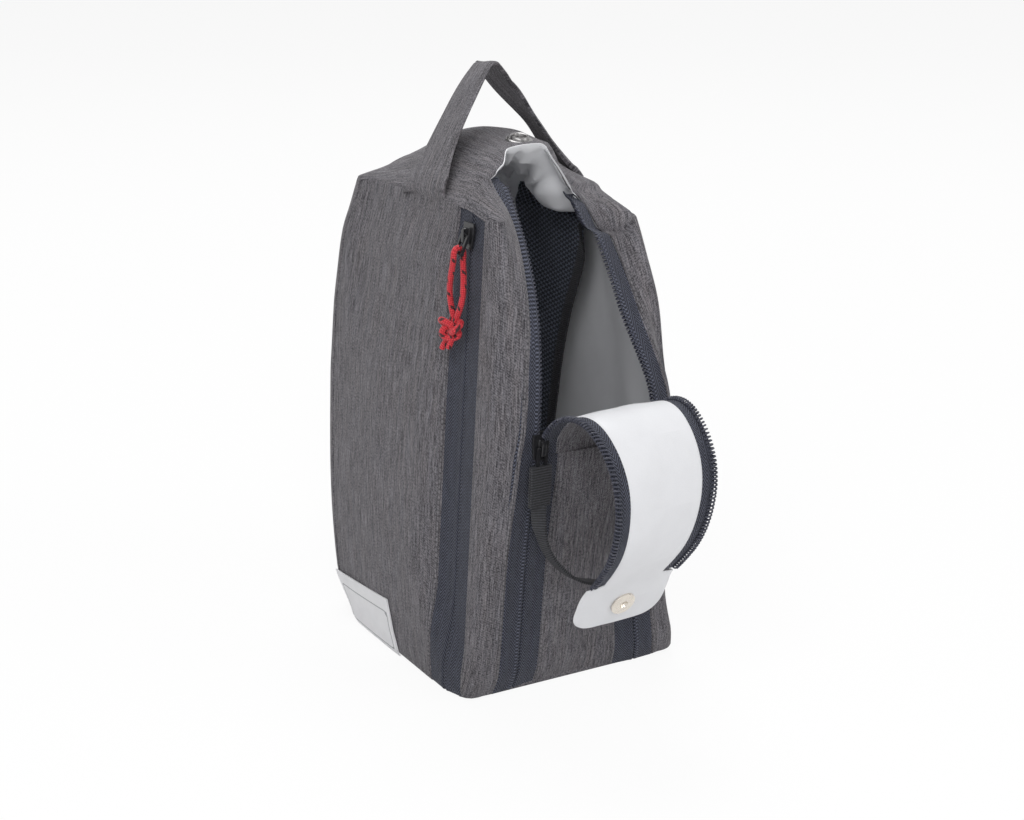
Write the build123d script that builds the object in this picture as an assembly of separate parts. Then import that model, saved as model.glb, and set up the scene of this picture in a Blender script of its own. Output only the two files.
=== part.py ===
"""Upright toiletry bag: a soft box on a flat base, with a front opening between two curved zips.

Units are millimetres, +Z is up and the front of the bag faces -Y.
The origin is the middle of the base, on the surface that the bag stands on.
Each sub-part is built for the +X side where it has one, and mirrored to the -X side.
"""
from build123d import *
from math import asin, atan, cos, degrees, pi, radians, sin, tan
import os

os.makedirs("parts", exist_ok=True)

# Body: half width, its lean, and the heights that matter
base_half_width = 60.5        # half width of the base on the floor
skirt_half_width = 62.0       # half width where the base panel ends
wall_half_width = 63.0        # half width where the flat side walls start
wall_start_z = 14.0
seam_z = 250.0                # seam between the side walls and the crown
seam_half_width = 48.5
base_panel_t = 3.0
fabric_t = 2.2                # padded fabric wall
lining_t = 0.8
base_inset = 5.0              # base panel edge, in from the outside of the walls

# Front opening: each zip follows an arc about an axis that leans inward
fold_y = -90.0                # where the flap hinges on the front panel
fold_z = 149.0
zip_radius = 158.0            # side view radius of the shoulder
zip_half_fold = 34.0          # zip line to the middle of the bag at the fold
zip_half_top = 24.0           # and at the top of the zip
zip_start_deg = -5.0          # lower end of the arc, below the fold
zip_top_deg = 49.0            # upper end of the arc
zip_start_z = 135.0
zip_step_deg = 1.5            # between the sections of a bar along the arc

# Zip sections
tape_w = 10.35                # one tape, from its free edge to the fabric
tape_t = 1.2
tape_gap = 1.05               # half of the gap that the slider post runs in
seam_gap = 0.1                # sewn edge, left free of contact
coil_w = 2.2
coil_t = 1.8
coil_start_z = 15.0           # lower end of the closed part of the front zips
coil_end_deg = 47.5           # upper end of the open coils

# Crown
snap_y = -15.0                # snap on the crown
snap_z = 276.5                # crown surface under the snap
snap_tilt_deg = 11.0          # the crown falls forward there, and the closed tab lies along it
crown_lip = 2.5               # upright lip on the side seam
crown_cut = 3.0               # crown edge, behind the zip arc
crown_rows = ((-66.0, 262.0), (-44.0, 271.0), (-29.0, 273.6), (snap_y, snap_z), (12.0, 279.0),
              (50.0, 278.0), (66.0, 271.0), (80.0, 261.0))    # (y, ridge height)
crown_power = 2.2

# Front flap: stiff fabric panels, one for each rest angle, and a snap tab
flap_pitch = 35.9             # hinge to hinge
flap_t = 2.0
flap_rest_deg = (62.5, 132.0, 186.0, 219.0)     # from straight up, towards the front
flap_margin = 9.0             # panel edge to the zip line
flap_tape_end = 0.3
knuckle_r = 1.2
knuckle_clear = 0.3
tab_rest_deg = 205.0
tab_length = 33.0
tab_half_root = 17.0
tab_half_w = 20.0
tab_flare = 15.0              # where the tab reaches its full width
tab_corner_r = 9.0

# Snap
snap_d = 14.0
snap_reach = 19.0             # stud centre to the tab root
snap_stud_t = 1.2
snap_hole_d = 3.2
snap_cap_d = 11.0
snap_cap_t = 0.9
snap_socket_h = 2.0
snap_socket_neck_d = 9.5
snap_flange_t = 0.8

# Main sliders and their webbing pulls
slider_w = 9.6
slider_nose_w = 6.4
slider_l = 13.0
slider_shoulder = 1.3         # ahead of the middle, where the plate is at its full width
slider_post_l = 5.2
slider_plate_t = 1.4
slider_clear = 0.3
slider_post_w = 1.5
slider_rest_deg = -2.4
bail_w = 2.4
bail_l = 8.0
bail_h = 3.4
pin_r = 0.7
pin_hole_r = 1.0
pull_arm_w = 1.5
pull_ring_l = 9.5
pull_tab_w = 10.5
pull_tab_t = 3.2
pull_tab_l = 19.0
strap_t = 1.6
strap_w = 9.0
strap_bottom_z = 63.0
strap_steps = 14

# Pocket on the left side wall
pocket_y = -49.5              # zip line of the pocket
pocket_tape_w = 11.1
pocket_gap = 0.9
pocket_post_w = 1.2
pocket_slider_z = 241.5
pocket_depth = 6.0            # lining behind the pocket, in from the outside of the wall
pocket_rear_y = 52.0
pocket_lining_low = 26.0
pocket_lining_high = 249.0
pocket_coil_low = 24.0
pocket_coil_top = 247.5
pocket_stop_z = 28.0
pocket_stop_h = 3.0

# Cord puller on the pocket slider
cord_d = 3.0
ring_bar_r = 1.0
ring_half_w = 3.6
ring_l = 9.0
ring_tilt_deg = 24.0
knot_drop = 38.0
knot_d = 12.5
knot_turn_d = 4.5             # thickness of the knot's outer turn
knot_core_d = 9.0
knot_stand = 0.6              # knot centre, out from the ring's bar
tail_l = 9.0
tail_lean_deg = (8.0, 24.0)
tail_apart = 4.0

# Mesh pocket on the inside of the right wall
mesh_t = 1.0
mesh_depth = 13.0             # mesh face, in from the outside of the wall
mesh_rear_y = 62.0
mesh_low_z = 24.0
mesh_high_z = 236.0
mesh_low_taper = 14.0         # height over which the mesh leaves the wall
mesh_high_taper = 12.0
mesh_rear_taper = 10.0
mesh_front_low_y = 46.0
mesh_front_high_y = -20.0
binding_w = 7.0
binding_t = 1.8

# Handle
handle_y = 0.0
handle_pivot_z = 269.5
handle_top_z = 317.0
handle_lean_deg = 18.0
handle_foot_w = 42.0
handle_foot_t = 1.8
handle_end_w = 24.0
handle_top_w = 19.0
handle_t = 3.0
handle_bent_t = 2.2           # strap, measured across and down, where it bends over
handle_clear = 0.3
handle_shape = ((0.12, 0.6, 25.0), (0.45, 16.4, 27.0), (0.8, 35.7, 23.0))   # (rise, inward, width)

# Base stiffener, label
stiffener_t = 2.0
stiffener_inset = 6.5
label_t = 0.6
label_front_y = 8.0
label_rear_y = 72.0
label_top_z = 28.0
label_low_z = 2.5

# Profiles by height: (z, front of the zip line, corner front, corner side, back)
profile = ((0.0, -67.0, -66.5, -64.5, 76.0),
           (base_panel_t, -68.5, -68.0, -66.0, 78.0),
           (wall_start_z, -72.5, -72.0, -68.5, 82.5),
           (75.0, -80.0, -77.0, -71.5, 91.0),
           (110.0, -86.0, -80.0, -73.5, 94.5),
           (zip_start_z, -90.5, -82.5, -74.5, 95.5),
           (fold_z, -91.1, -81.5, -74.0, 95.5),
           (183.0, -88.0, -78.5, -73.0, 93.0),
           (216.0, -76.0, -76.5, -71.5, 87.5),
           (seam_z, -54.0, -70.0, -67.0, 77.0))
strip_rear_y = pocket_y - pocket_gap - pocket_tape_w
back_corner_r = 14.0
back_bulge = 2.0
corner_front_in = 6.0         # corner points, in from the side wall
corner_side_in = 1.5
lining_hem = 3.0              # where the lining leaves the wall behind the front strip

wall_slope = (wall_half_width - seam_half_width) / (seam_z - wall_start_z)
wall_tilt = atan(wall_slope)
zip_lean = asin((zip_half_fold - zip_half_top) / (zip_radius * sin(radians(zip_top_deg))))
axis_y = fold_y + zip_radius
panel_tape_end_deg = -degrees((knuckle_r + knuckle_clear) / zip_radius)
coil_foot_deg = slider_rest_deg - degrees((slider_l / 2 + slider_clear) / zip_radius)


def between(z, column):
    """Value of one profile column at height z"""
    for low, high in zip(profile, profile[1:]):
        if z <= high[0]:
            share = (z - low[0]) / (high[0] - low[0])
            return low[column] + share * (high[column] - low[column])
    return profile[-1][column]


def half_width(z):
    """Half width of the bag at height z"""
    if z <= base_panel_t:
        return base_half_width + (skirt_half_width - base_half_width) * z / base_panel_t
    if z <= wall_start_z:
        share = (z - base_panel_t) / (wall_start_z - base_panel_t)
        return skirt_half_width + share * (wall_half_width - skirt_half_width)
    return wall_half_width - wall_slope * (z - wall_start_z)


def zip_frame(angle_deg):
    """Plane on the right zip arc: x across and away from the middle, y along, z outward"""
    a = radians(angle_deg)
    lean = zip_lean
    origin = Vector(zip_half_fold - zip_radius * sin(a) * sin(lean),
                    axis_y - zip_radius * cos(a),
                    fold_z + zip_radius * sin(a) * cos(lean))
    outward = Vector(-sin(a) * sin(lean), -cos(a), sin(a) * cos(lean))
    return Plane(origin=origin, x_dir=Vector(cos(lean), 0, sin(lean)), z_dir=outward)


def zip_point(angle_deg, across, out):
    """Point beside the right zip arc"""
    return tuple(zip_frame(angle_deg).from_local_coords(Vector(across, 0, out)))


def zip_angle(z, across, out):
    """Angle at which a line beside the zip arc passes height z"""
    rise = z - fold_z - across * sin(zip_lean)
    return degrees(asin(rise / ((zip_radius + out) * cos(zip_lean))))


def zip_line_x():
    """Distance of the straight lower zip from the middle"""
    return zip_point(zip_start_deg, 0, 0)[0]


fabric_edge = tape_gap + tape_w + seam_gap


def edge_point(z, across, inset):
    """Point of a wall beside the zip at height z, across from the zip line"""
    out = fabric_t / 2 - inset
    if z > zip_start_z:
        x, y, _ = zip_point(zip_angle(z, across, out), across, out)
        return (x, y, z)
    return (zip_line_x() + across, between(z, 1) + inset, z)


def wall_ring(z, inset):
    """Named points of the right half of the wall at height z"""
    h = half_width(z)
    back = between(z, 4)
    r = back_corner_r
    ring = {"zip": edge_point(z, fabric_edge, inset),
            "corner_front": (h - corner_front_in - 0.45 * inset, between(z, 2) + 0.9 * inset, z),
            "corner_side": (h - corner_side_in - 0.9 * inset, between(z, 3) + 0.45 * inset, z),
            "strip_rear": (h - inset, strip_rear_y, z),
            "pocket_front": (h - inset, pocket_y + pocket_gap + pocket_tape_w, z),
            "back_seam": (h - inset, back - r, z)}
    for step in (1, 2, 3):
        a = radians(30 * step)
        ring["back_%d" % step] = (h - r + (r - inset) * cos(a), back - r + (r - inset) * sin(a), z)
    ring["back_mid"] = (0.0, back + back_bulge - inset, z)
    return ring


def columns(names, z, inset):
    """A row of wall points"""
    ring = wall_ring(z, inset)
    return [ring[name] for name in names]


def triangles(*corners):
    """Faces of a quad, split from its smallest corner so that neighbours match"""
    ring = [tuple(round(v, 6) for v in corner) for corner in corners]
    start = ring.index(min(ring))
    a, b, c, d = ring[start:] + ring[:start]
    return [Face(Wire.make_polygon([Vector(*p) for p in t]))
            for t in ((a, b, c), (a, c, d)) if len(set(t)) == 3]


def sheet(outer, inner):
    """Closed solid between two grids of points"""
    faces = []
    rows = len(outer) - 1
    last = len(outer[0]) - 1
    for grid in (outer, inner):
        for i in range(rows):
            for j in range(last):
                faces += triangles(grid[i][j], grid[i][j + 1], grid[i + 1][j + 1], grid[i + 1][j])
    for i in range(rows):
        for j in (0, last):
            faces += triangles(outer[i][j], outer[i + 1][j], inner[i + 1][j], inner[i][j])
    for j in range(last):
        for i in (0, rows):
            faces += triangles(outer[i][j], outer[i][j + 1], inner[i][j + 1], inner[i][j])
    return Solid(Shell(faces))


def left(shape):
    """The same piece on the -X side"""
    return shape.mirror(Plane.YZ)


def mirror_rows(rows):
    """Rows of right half points made into full rows, from -X to +X"""
    return [[(-x, y, z) for x, y, z in row] + [p for p in reversed(row) if p[0] > 0]
            for row in rows]


def save(name, shape):
    """Write one node"""
    shape.label = name
    export_step(shape, "parts/%s.step" % name)


wall_z = [row[0] for row in profile]
upright_z = [z for z in wall_z if z >= wall_start_z]


def fabric_inside(names, z):
    """Inner row of the wall fabric, which stops at the edge of the base panel"""
    if z > base_panel_t:
        return columns(names, z, fabric_t)
    return [(x, y, z) for x, y, _ in columns(names, base_panel_t, base_inset)]


def wall_panel(names):
    """Fabric panel of the right wall"""
    outer = [columns(names, z, 0) for z in wall_z]
    return sheet(outer, [fabric_inside(names, z) for z in wall_z])


def outline(z, inset, names=None):
    """Full plan outline of the walls at height z"""
    names = names or ["zip", "corner_front", "corner_side", "strip_rear", "back_seam",
                      "back_1", "back_2", "back_3", "back_mid"]
    right = columns(names, z, inset)
    return right + [(-x, y, z) for x, y, z in reversed(right) if x > 0]


def plate(points, z, height):
    """Flat plate with a plan outline"""
    face = Face(Wire.make_polygon([Vector(x, y, z) for x, y, _ in points]))
    return extrude(face, amount=height, dir=(0, 0, 1))


def tray(outline_low, outline_high):
    """Solid between two plan outlines at different heights"""
    count = len(outline_low)
    faces = [Face(Wire.make_polygon([Vector(*p) for p in ring]))
             for ring in (outline_low, outline_high)]
    for i in range(count):
        j = (i + 1) % count
        faces += triangles(outline_low[i], outline_low[j], outline_high[j], outline_high[i])
    return Solid(Shell(faces))


def make_base():
    """Base panel, stiffener and bottom lining"""
    save("base_panel", plate(outline(base_panel_t, base_inset), 0, base_panel_t))
    save("base_stiffener", plate(outline(base_panel_t, stiffener_inset), base_panel_t, stiffener_t))
    floor_z = base_panel_t + stiffener_t
    low = [(x, y, floor_z) for x, y, _ in outline(base_panel_t, stiffener_inset)]
    low_in = [(x, y, floor_z + lining_t) for x, y, _ in outline(base_panel_t, stiffener_inset + 1)]
    high = outline(wall_start_z, fabric_t)
    high_in = outline(wall_start_z, fabric_t + lining_t)
    save("lining_bottom", tray(low, high) - tray(low_in, high_in))


def make_walls():
    """Outer fabric panels and the linings behind them"""
    strip = wall_panel(["zip", "corner_front", "corner_side", "strip_rear"])
    save("front_strip_right", strip)
    save("front_strip_left", left(strip))
    save("side_panel_right", wall_panel(["strip_rear", "back_seam"]))
    save("side_panel_left", left(wall_panel(["pocket_front", "back_seam"])))

    names = ["back_seam", "back_1", "back_2", "back_3", "back_mid"]
    deep = fabric_t + lining_t
    outer = mirror_rows([columns(names, z, 0) for z in wall_z])
    inner = mirror_rows([fabric_inside(names, z) for z in wall_z])
    save("back_panel", sheet(outer, inner))
    outer = mirror_rows([columns(names, z, fabric_t) for z in upright_z])
    inner = mirror_rows([columns(names, z, deep) for z in upright_z])
    save("lining_back", sheet(outer, inner))

    names = ["zip", "corner_front", "corner_side", "strip_rear", "back_seam"]
    outer = [columns(names, z, fabric_t) for z in upright_z]
    save("lining_right", sheet(outer, [columns(names, z, deep) for z in upright_z]))
    save("lining_left", left(make_pocket_lining()))


def make_pocket_lining():
    """Lining that stands off the wall behind the pocket zip"""
    heights = sorted(set(upright_z + [pocket_lining_low, pocket_lining_high]))

    def row(z, inset):
        deep = pocket_depth + inset - fabric_t
        side = deep if pocket_lining_low <= z <= pocket_lining_high else inset
        corner = columns(["zip", "corner_front", "corner_side"], z, inset)
        x = half_width(z) - side
        back = wall_ring(z, inset)["back_seam"]
        return corner + [(x, strip_rear_y + lining_hem, z), (x, pocket_rear_y, z), back]
    return sheet([row(z, fabric_t) for z in heights], [row(z, fabric_t + lining_t) for z in heights])


def panel_half_width(z):
    """Half width of the front panel fabric at height z"""
    return edge_point(z, -fabric_edge, fabric_t / 2)[0]


def make_front_panel():
    """Lower front panel, up to the rounded edge that the flap hinges on"""
    heights = [z for z in wall_z if z <= zip_start_z]

    def row(z, inset):
        w = panel_half_width(z)
        y = between(z, 1) + inset
        return [(-w, y, z), (w, y, z)]

    def inner(z):
        if z <= base_panel_t:
            y = between(base_panel_t, 1) + base_inset
            return [(x, y, z) for x, _, _ in row(z, 0)]
        return row(z, fabric_t)
    top = panel_half_width(fold_z - knuckle_r)
    front_y = fold_y - flap_t / 2
    rear_y = fold_y + flap_t / 2
    outer = [row(z, 0) for z in heights] + [[(-top, front_y, fold_z), (top, front_y, fold_z)]]
    inside = [inner(z) for z in heights] + [[(-top, rear_y, fold_z), (top, rear_y, fold_z)]]
    knuckle = Plane(origin=(-top, fold_y, fold_z), z_dir=(1, 0, 0)) * Cylinder(
        knuckle_r, 2 * top, align=(Align.CENTER, Align.CENTER, Align.MIN))
    save("front_panel", sheet(outer, inside) + knuckle)

    rows = [z for z in heights if z >= wall_start_z]
    deep = fabric_t + lining_t
    save("lining_front", sheet([row(z, fabric_t) for z in rows], [row(z, deep) for z in rows]))


def zip_angles(start, end):
    """Angles of the sections of a bar along the zip arc"""
    fixed = (zip_start_deg, panel_tape_end_deg, coil_foot_deg, coil_end_deg, zip_top_deg)
    steps = [zip_start_deg + zip_step_deg * i
             for i in range(1, int((zip_top_deg - zip_start_deg) / zip_step_deg))]
    return [a for a in sorted(set(steps + list(fixed))) if start <= a <= end]


def zip_bar(heights, angles, near, far, low, high):
    """Bar along the straight lower zip, then along the arc: near to far across, low to high outward"""
    def row(z, out):
        y = between(z, 1) + fabric_t / 2 - out
        return [(zip_line_x() + near, y, z), (zip_line_x() + far, y, z)]

    def arc_row(angle, out):
        return [zip_point(angle, near, out), zip_point(angle, far, out)]
    outer = [row(z, high) for z in heights] + [arc_row(a, high) for a in angles]
    inner = [row(z, low) for z in heights] + [arc_row(a, low) for a in angles]
    return sheet(outer, inner)


def make_main_zips():
    """Tapes and coils of the two front zips"""
    low_z = [z for z in wall_z if base_panel_t <= z < zip_start_z]
    chain_z = [coil_start_z] + [z for z in low_z if z > coil_start_z]
    half_t = tape_t / 2
    low = -half_t - coil_t
    end = fabric_edge - seam_gap
    open_coil = zip_angles(coil_foot_deg, coil_end_deg)
    whole_arc = zip_angles(zip_start_deg, zip_top_deg)
    panel_arc = zip_angles(zip_start_deg, panel_tape_end_deg)
    pieces = {
        "zip_tape": zip_bar(low_z, whole_arc, tape_gap, end, -half_t, half_t),
        "front_tape": zip_bar(low_z, panel_arc, -end, -tape_gap, -half_t, half_t),
        "zip_coil": zip_bar([], open_coil, tape_gap, tape_gap + coil_w, low, -half_t),
        "zip_chain": zip_bar(chain_z, [zip_start_deg], -tape_gap - coil_w, tape_gap + coil_w, low, -half_t)}
    for name, piece in pieces.items():
        save(name + "_right", piece)
        save(name + "_left", left(piece))


def crown_height(x, ridge):
    """Height of the crown across the bag"""
    side = seam_z + crown_lip
    share = min(abs(x) / seam_half_width, 1.0)
    return side + (ridge - side) * (1 - share ** crown_power)


def crown_block(drop):
    """Everything under the crown surface, lowered by drop"""
    shares = (-1.3, -1.0, -0.88, -0.74, -0.5, -0.25, 0.0, 0.25, 0.5, 0.74, 0.88, 1.0, 1.3)
    xs = [share * seam_half_width for share in shares]
    top = [[(x, y, crown_height(x, ridge) - drop) for x in xs] for y, ridge in crown_rows]
    low = [[(x, y, fold_z) for x in xs] for y, _ in crown_rows]
    return sheet(top, low)


def make_crown():
    """Crown over the bag and its lining; gives back the space that the crown takes"""
    tall = max(row[1] for row in crown_rows)
    names = ["corner_front", "corner_side", "strip_rear", "back_seam", "back_1", "back_2",
             "back_3", "back_mid"]

    def column(inset, open_front):
        ring = wall_ring(seam_z, inset)
        tip = ring["zip"]
        right = [ring[name] for name in names]
        front = [(tip[0], crown_rows[0][0] + 1, seam_z)] if open_front else []
        right = front + [tip] + right
        points = right + [(-x, y, z) for x, y, z in reversed(right) if x > 0]
        return plate(points, seam_z, 2 * (tall - seam_z))

    cutter_w = wall_ring(seam_z, 0)["zip"][0]
    axis_plane = Plane(origin=(-cutter_w, axis_y, fold_z), z_dir=(1, 0, 0))
    drum = axis_plane * Cylinder(zip_radius - crown_cut, 2 * cutter_w,
                                 align=(Align.CENTER, Align.CENTER, Align.MIN))
    slab = Pos(0, axis_y - zip_radius, fold_z) * Box(2 * cutter_w, 2 * zip_radius, 2 * zip_radius)
    front_space = slab - drum
    outer = column(0, False) & crown_block(0)
    inner = column(fabric_t, True) & crown_block(fabric_t)
    crown = outer - inner - front_space
    lining_out = column(fabric_t, False) & crown_block(fabric_t)
    lining_in = column(fabric_t + lining_t, True) & crown_block(fabric_t + lining_t)
    lining = lining_out - lining_in - front_space
    save("crown_panel", crown)
    save("lining_top", lining)
    return outer - (column(fabric_t + lining_t, True) & crown_block(fabric_t + lining_t))


def side_frame(z):
    """Plane on the right side wall at the pocket zip: x backward, y up the wall, z outward"""
    outward = Vector(cos(wall_tilt), 0, sin(wall_tilt))
    return Plane(origin=(half_width(z), pocket_y, z), x_dir=(0, 1, 0), z_dir=outward)


def make_pocket():
    """Pocket zip on the left wall: tapes and coils, with the bottom stop on the front coil"""
    heights = [z for z in wall_z if z >= base_panel_t]
    middle = [z for z in heights if pocket_coil_low < z < pocket_coil_top]
    coil_heights = [pocket_coil_low] + middle + [pocket_coil_top]
    outside = (fabric_t - tape_t) / 2
    inside = outside + tape_t
    stop_t = tape_t + coil_t
    stop = side_frame(pocket_stop_z) * Pos(0, 0, -outside - stop_t / 2) * Box(
        2 * pocket_gap, pocket_stop_h, stop_t)

    def rows(zs, y0, y1, inset):
        return [[(half_width(z) - inset, y0, z), (half_width(z) - inset, y1, z)] for z in zs]
    for name, side in (("front", -1), ("rear", 1)):
        near = pocket_y + side * pocket_gap
        far = near + side * pocket_tape_w
        tape = sheet(rows(heights, near, far, outside), rows(heights, near, far, inside))
        save("pocket_tape_" + name, left(tape))
        far = near + side * coil_w
        coil = sheet(rows(coil_heights, near, far, inside), rows(coil_heights, near, far, inside + coil_t))
        if name == "front":
            coil = coil + stop
        save("pocket_coil_" + name, left(coil))


def slider_body(width, length, post_w, behind, front):
    """Slider in its own frame: plates behind and in front of the tapes, joined by a post"""
    half = width / 2
    nose = slider_nose_w / 2
    end = length / 2
    corners = [(-half, slider_shoulder), (-half, end), (half, end), (half, slider_shoulder),
               (nose, -end), (-nose, -end)]

    def shield(z):
        face = Face(Wire.make_polygon([Vector(x, y, z) for x, y in corners]))
        return extrude(face, amount=slider_plate_t, dir=(0, 0, 1))
    rear = shield(behind - slider_plate_t)
    face = shield(front)
    post_y = end - slider_plate_t / 2 - slider_post_l / 2
    post = Pos(0, post_y, (behind + front) / 2) * Box(post_w, slider_post_l, front - behind)
    top = front + slider_plate_t
    bail = Pos(0, 0, top + bail_h / 2) * Box(bail_w, bail_l, bail_h)
    arch = fillet(bail.edges().filter_by(Axis.X).group_by(Axis.Z)[-1], bail_h * 0.45)
    eye = Pos(0, 0, top + bail_h / 2) * Rot(0, 90, 0) * Cylinder(pin_hole_r, 2 * bail_w)
    return rear + face + post + arch - eye


def ring_pull(arm_w, inner_half, length, bar_r):
    """Wire ring in its own frame: pin along x at the origin, arms down to a bar"""
    span = 2 * (inner_half + arm_w)
    pin = Rot(0, 90, 0) * Cylinder(pin_r, span)
    bar = Pos(0, -length, 0) * Rot(0, 90, 0) * Cylinder(bar_r, span)
    arm_x = inner_half + arm_w / 2
    arms = [Pos(s * arm_x, -length / 2, 0) * Box(arm_w, length, 2 * pin_r) for s in (-1, 1)]
    return pin + bar + arms[0] + arms[1]


def pin_height(front):
    """Height of the pull's pin in a slider's frame"""
    return front + slider_plate_t + bail_h / 2


main_front = tape_t / 2 + slider_clear
main_behind = -tape_t / 2 - coil_t - slider_clear


def make_main_sliders():
    """Main sliders with their rings, webbing tabs and the strap that links them"""
    frame = zip_frame(slider_rest_deg)
    body = slider_body(slider_w, slider_l, slider_post_w, main_behind, main_front)
    slider = frame * body
    save("slider_right", slider)
    save("slider_left", left(slider))

    pin = frame.from_local_coords(Vector(0, 0, pin_height(main_front)))
    hang = Plane(origin=pin, x_dir=(cos(zip_lean), 0, sin(zip_lean)), z_dir=(0, -1, 0))
    inner_half = bail_w / 2 + slider_clear
    ring = ring_pull(pull_arm_w, inner_half, pull_ring_l, pin_r)
    save("pull_ring_right", hang * ring)
    save("pull_ring_left", left(hang * ring))
    tab = Pos(0, -pull_ring_l - pin_r - pull_tab_l / 2, 0) * Box(pull_tab_w, pull_tab_l, pull_tab_t)
    tab = hang * tab
    save("pull_tab_right", tab)
    save("pull_tab_left", left(tab))

    top = hang.from_local_coords(Vector(0, -pull_ring_l - pin_r - pull_tab_l - slider_clear, 0))
    depth = top.Z - strap_bottom_z

    def strap_point(step, offset):
        a = pi / 2 * step / strap_steps
        x = (top.X + offset) * cos(a)
        z = top.Z - (depth + offset) * sin(a)
        return (x, z)
    front_y = top.Y - strap_w / 2
    back_y = top.Y + strap_w / 2
    steps = range(strap_steps + 1)

    def strap_rows(offset):
        points = [strap_point(step, offset) for step in steps]
        return [[(x, front_y, z), (x, back_y, z)] for x, z in points]
    strap = sheet(strap_rows(strap_t / 2), strap_rows(-strap_t / 2))
    save("pull_strap_right", strap)
    save("pull_strap_left", left(strap))
    return pin


def direction(angle_deg):
    """Unit vector in side view, turned from straight up towards the front"""
    a = radians(angle_deg)
    return Vector(0, -sin(a), cos(a))


def flap_frame(start, angle_deg):
    """Plane of a flap panel: x along it, z towards its outer fabric"""
    along = direction(angle_deg)
    outer = direction(angle_deg + 90)
    return Plane(origin=start, x_dir=along, z_dir=outer)


def flap_half(index):
    """Half width of the flap fabric at the end of panel number index"""
    angle = degrees(2 * asin(flap_pitch / 2 / zip_radius)) * index
    return zip_frame(angle).origin.X - flap_margin


def flap_panel(index):
    """Stiff panel in its own frame, from its hinge line to the next"""
    start = knuckle_r + knuckle_clear
    near = flap_half(index)
    far = flap_half(index + 1)
    corners = [(0, -near), (flap_pitch, -far), (flap_pitch, far), (0, near)]
    face = Face(Wire.make_polygon([Vector(x, y, -flap_t / 2) for x, y in corners]))
    body = extrude(face, amount=flap_t, dir=(0, 0, 1))
    socket = Rot(90, 0, 0) * Cylinder(start, 4 * near)
    knuckle = Pos(flap_pitch, 0, 0) * Rot(90, 0, 0) * Cylinder(knuckle_r, 2 * far)
    return body - socket + knuckle


def flap_zip(index):
    """Tape and coil on one edge of a flap panel, in the panel's frame"""
    start = knuckle_r + knuckle_clear
    end = flap_pitch - flap_tape_end
    wide = flap_margin - tape_gap

    def strip(inner, outer, low, high):
        def edge(x, offset):
            share = x / flap_pitch
            return flap_half(index) * (1 - share) + flap_half(index + 1) * share + offset
        corners = [(start, edge(start, inner)), (end, edge(end, inner)),
                   (end, edge(end, outer)), (start, edge(start, outer))]
        face = Face(Wire.make_polygon([Vector(x, y, low) for x, y in corners]))
        return extrude(face, amount=high - low, dir=(0, 0, 1))
    tape = strip(0, wide, -tape_t / 2, tape_t / 2)
    coil = strip(wide - coil_w, wide, -tape_t / 2 - coil_t, -tape_t / 2)
    return tape + coil


def make_flap():
    """Flap folded down in front of the bag, and the snap tab on its end"""
    start = Vector(0, fold_y, fold_z)
    for index, angle in enumerate(flap_rest_deg):
        frame = flap_frame(start, angle)
        save("flap_panel_%d" % (index + 1), frame * flap_panel(index))
        edge = frame * flap_zip(index)
        save("flap_zip_%d_left" % (index + 1), edge)
        save("flap_zip_%d_right" % (index + 1), left(edge))
        start = start + direction(angle) * flap_pitch

    frame = flap_frame(start, tab_rest_deg)
    root = knuckle_r + knuckle_clear
    corners = [(0, -tab_half_root), (tab_flare, -tab_half_w), (tab_length, -tab_half_w),
               (tab_length, tab_half_w), (tab_flare, tab_half_w), (0, tab_half_root)]
    face = Face(Wire.make_polygon([Vector(x, y, -flap_t / 2) for x, y in corners]))
    body = extrude(face, amount=flap_t, dir=(0, 0, 1))
    body = fillet(body.edges().filter_by(Axis.Z).group_by(Axis.X)[-1], tab_corner_r)
    socket = Rot(90, 0, 0) * Cylinder(root, 4 * tab_half_w)
    bore = Pos(snap_reach, 0, 0) * Cylinder(snap_hole_d / 2, 4 * flap_t)
    save("snap_tab", frame * (body - socket - bore))

    low = -flap_t / 2
    disc = Pos(snap_reach, 0, low - snap_stud_t / 2) * Cylinder(snap_d / 2, snap_stud_t)
    stem = Pos(snap_reach, 0, 0) * Cylinder(snap_hole_d / 2, flap_t)
    cap = Pos(snap_reach, 0, flap_t / 2 + snap_cap_t / 2) * Cylinder(snap_cap_d / 2, snap_cap_t)
    recess = Pos(snap_reach, 0, low - snap_stud_t) * Cylinder(snap_hole_d / 2, snap_stud_t)
    save("snap_stud", frame * (disc + stem + cap - recess))


def make_snap_socket(crown_blank):
    """Snap half on the crown, seated on a flange"""
    flange = Cylinder(snap_d / 2, 2 * snap_flange_t)
    neck = Cylinder(snap_socket_neck_d / 2, snap_socket_h, align=(Align.CENTER, Align.CENTER, Align.MIN))
    recess = Pos(0, 0, snap_socket_h) * Cylinder(snap_hole_d / 2, snap_socket_h)
    place = Pos(0, snap_y, snap_z) * Rot(snap_tilt_deg, 0, 0)
    save("snap_socket", place * (flange + neck - recess) - crown_blank)


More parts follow.
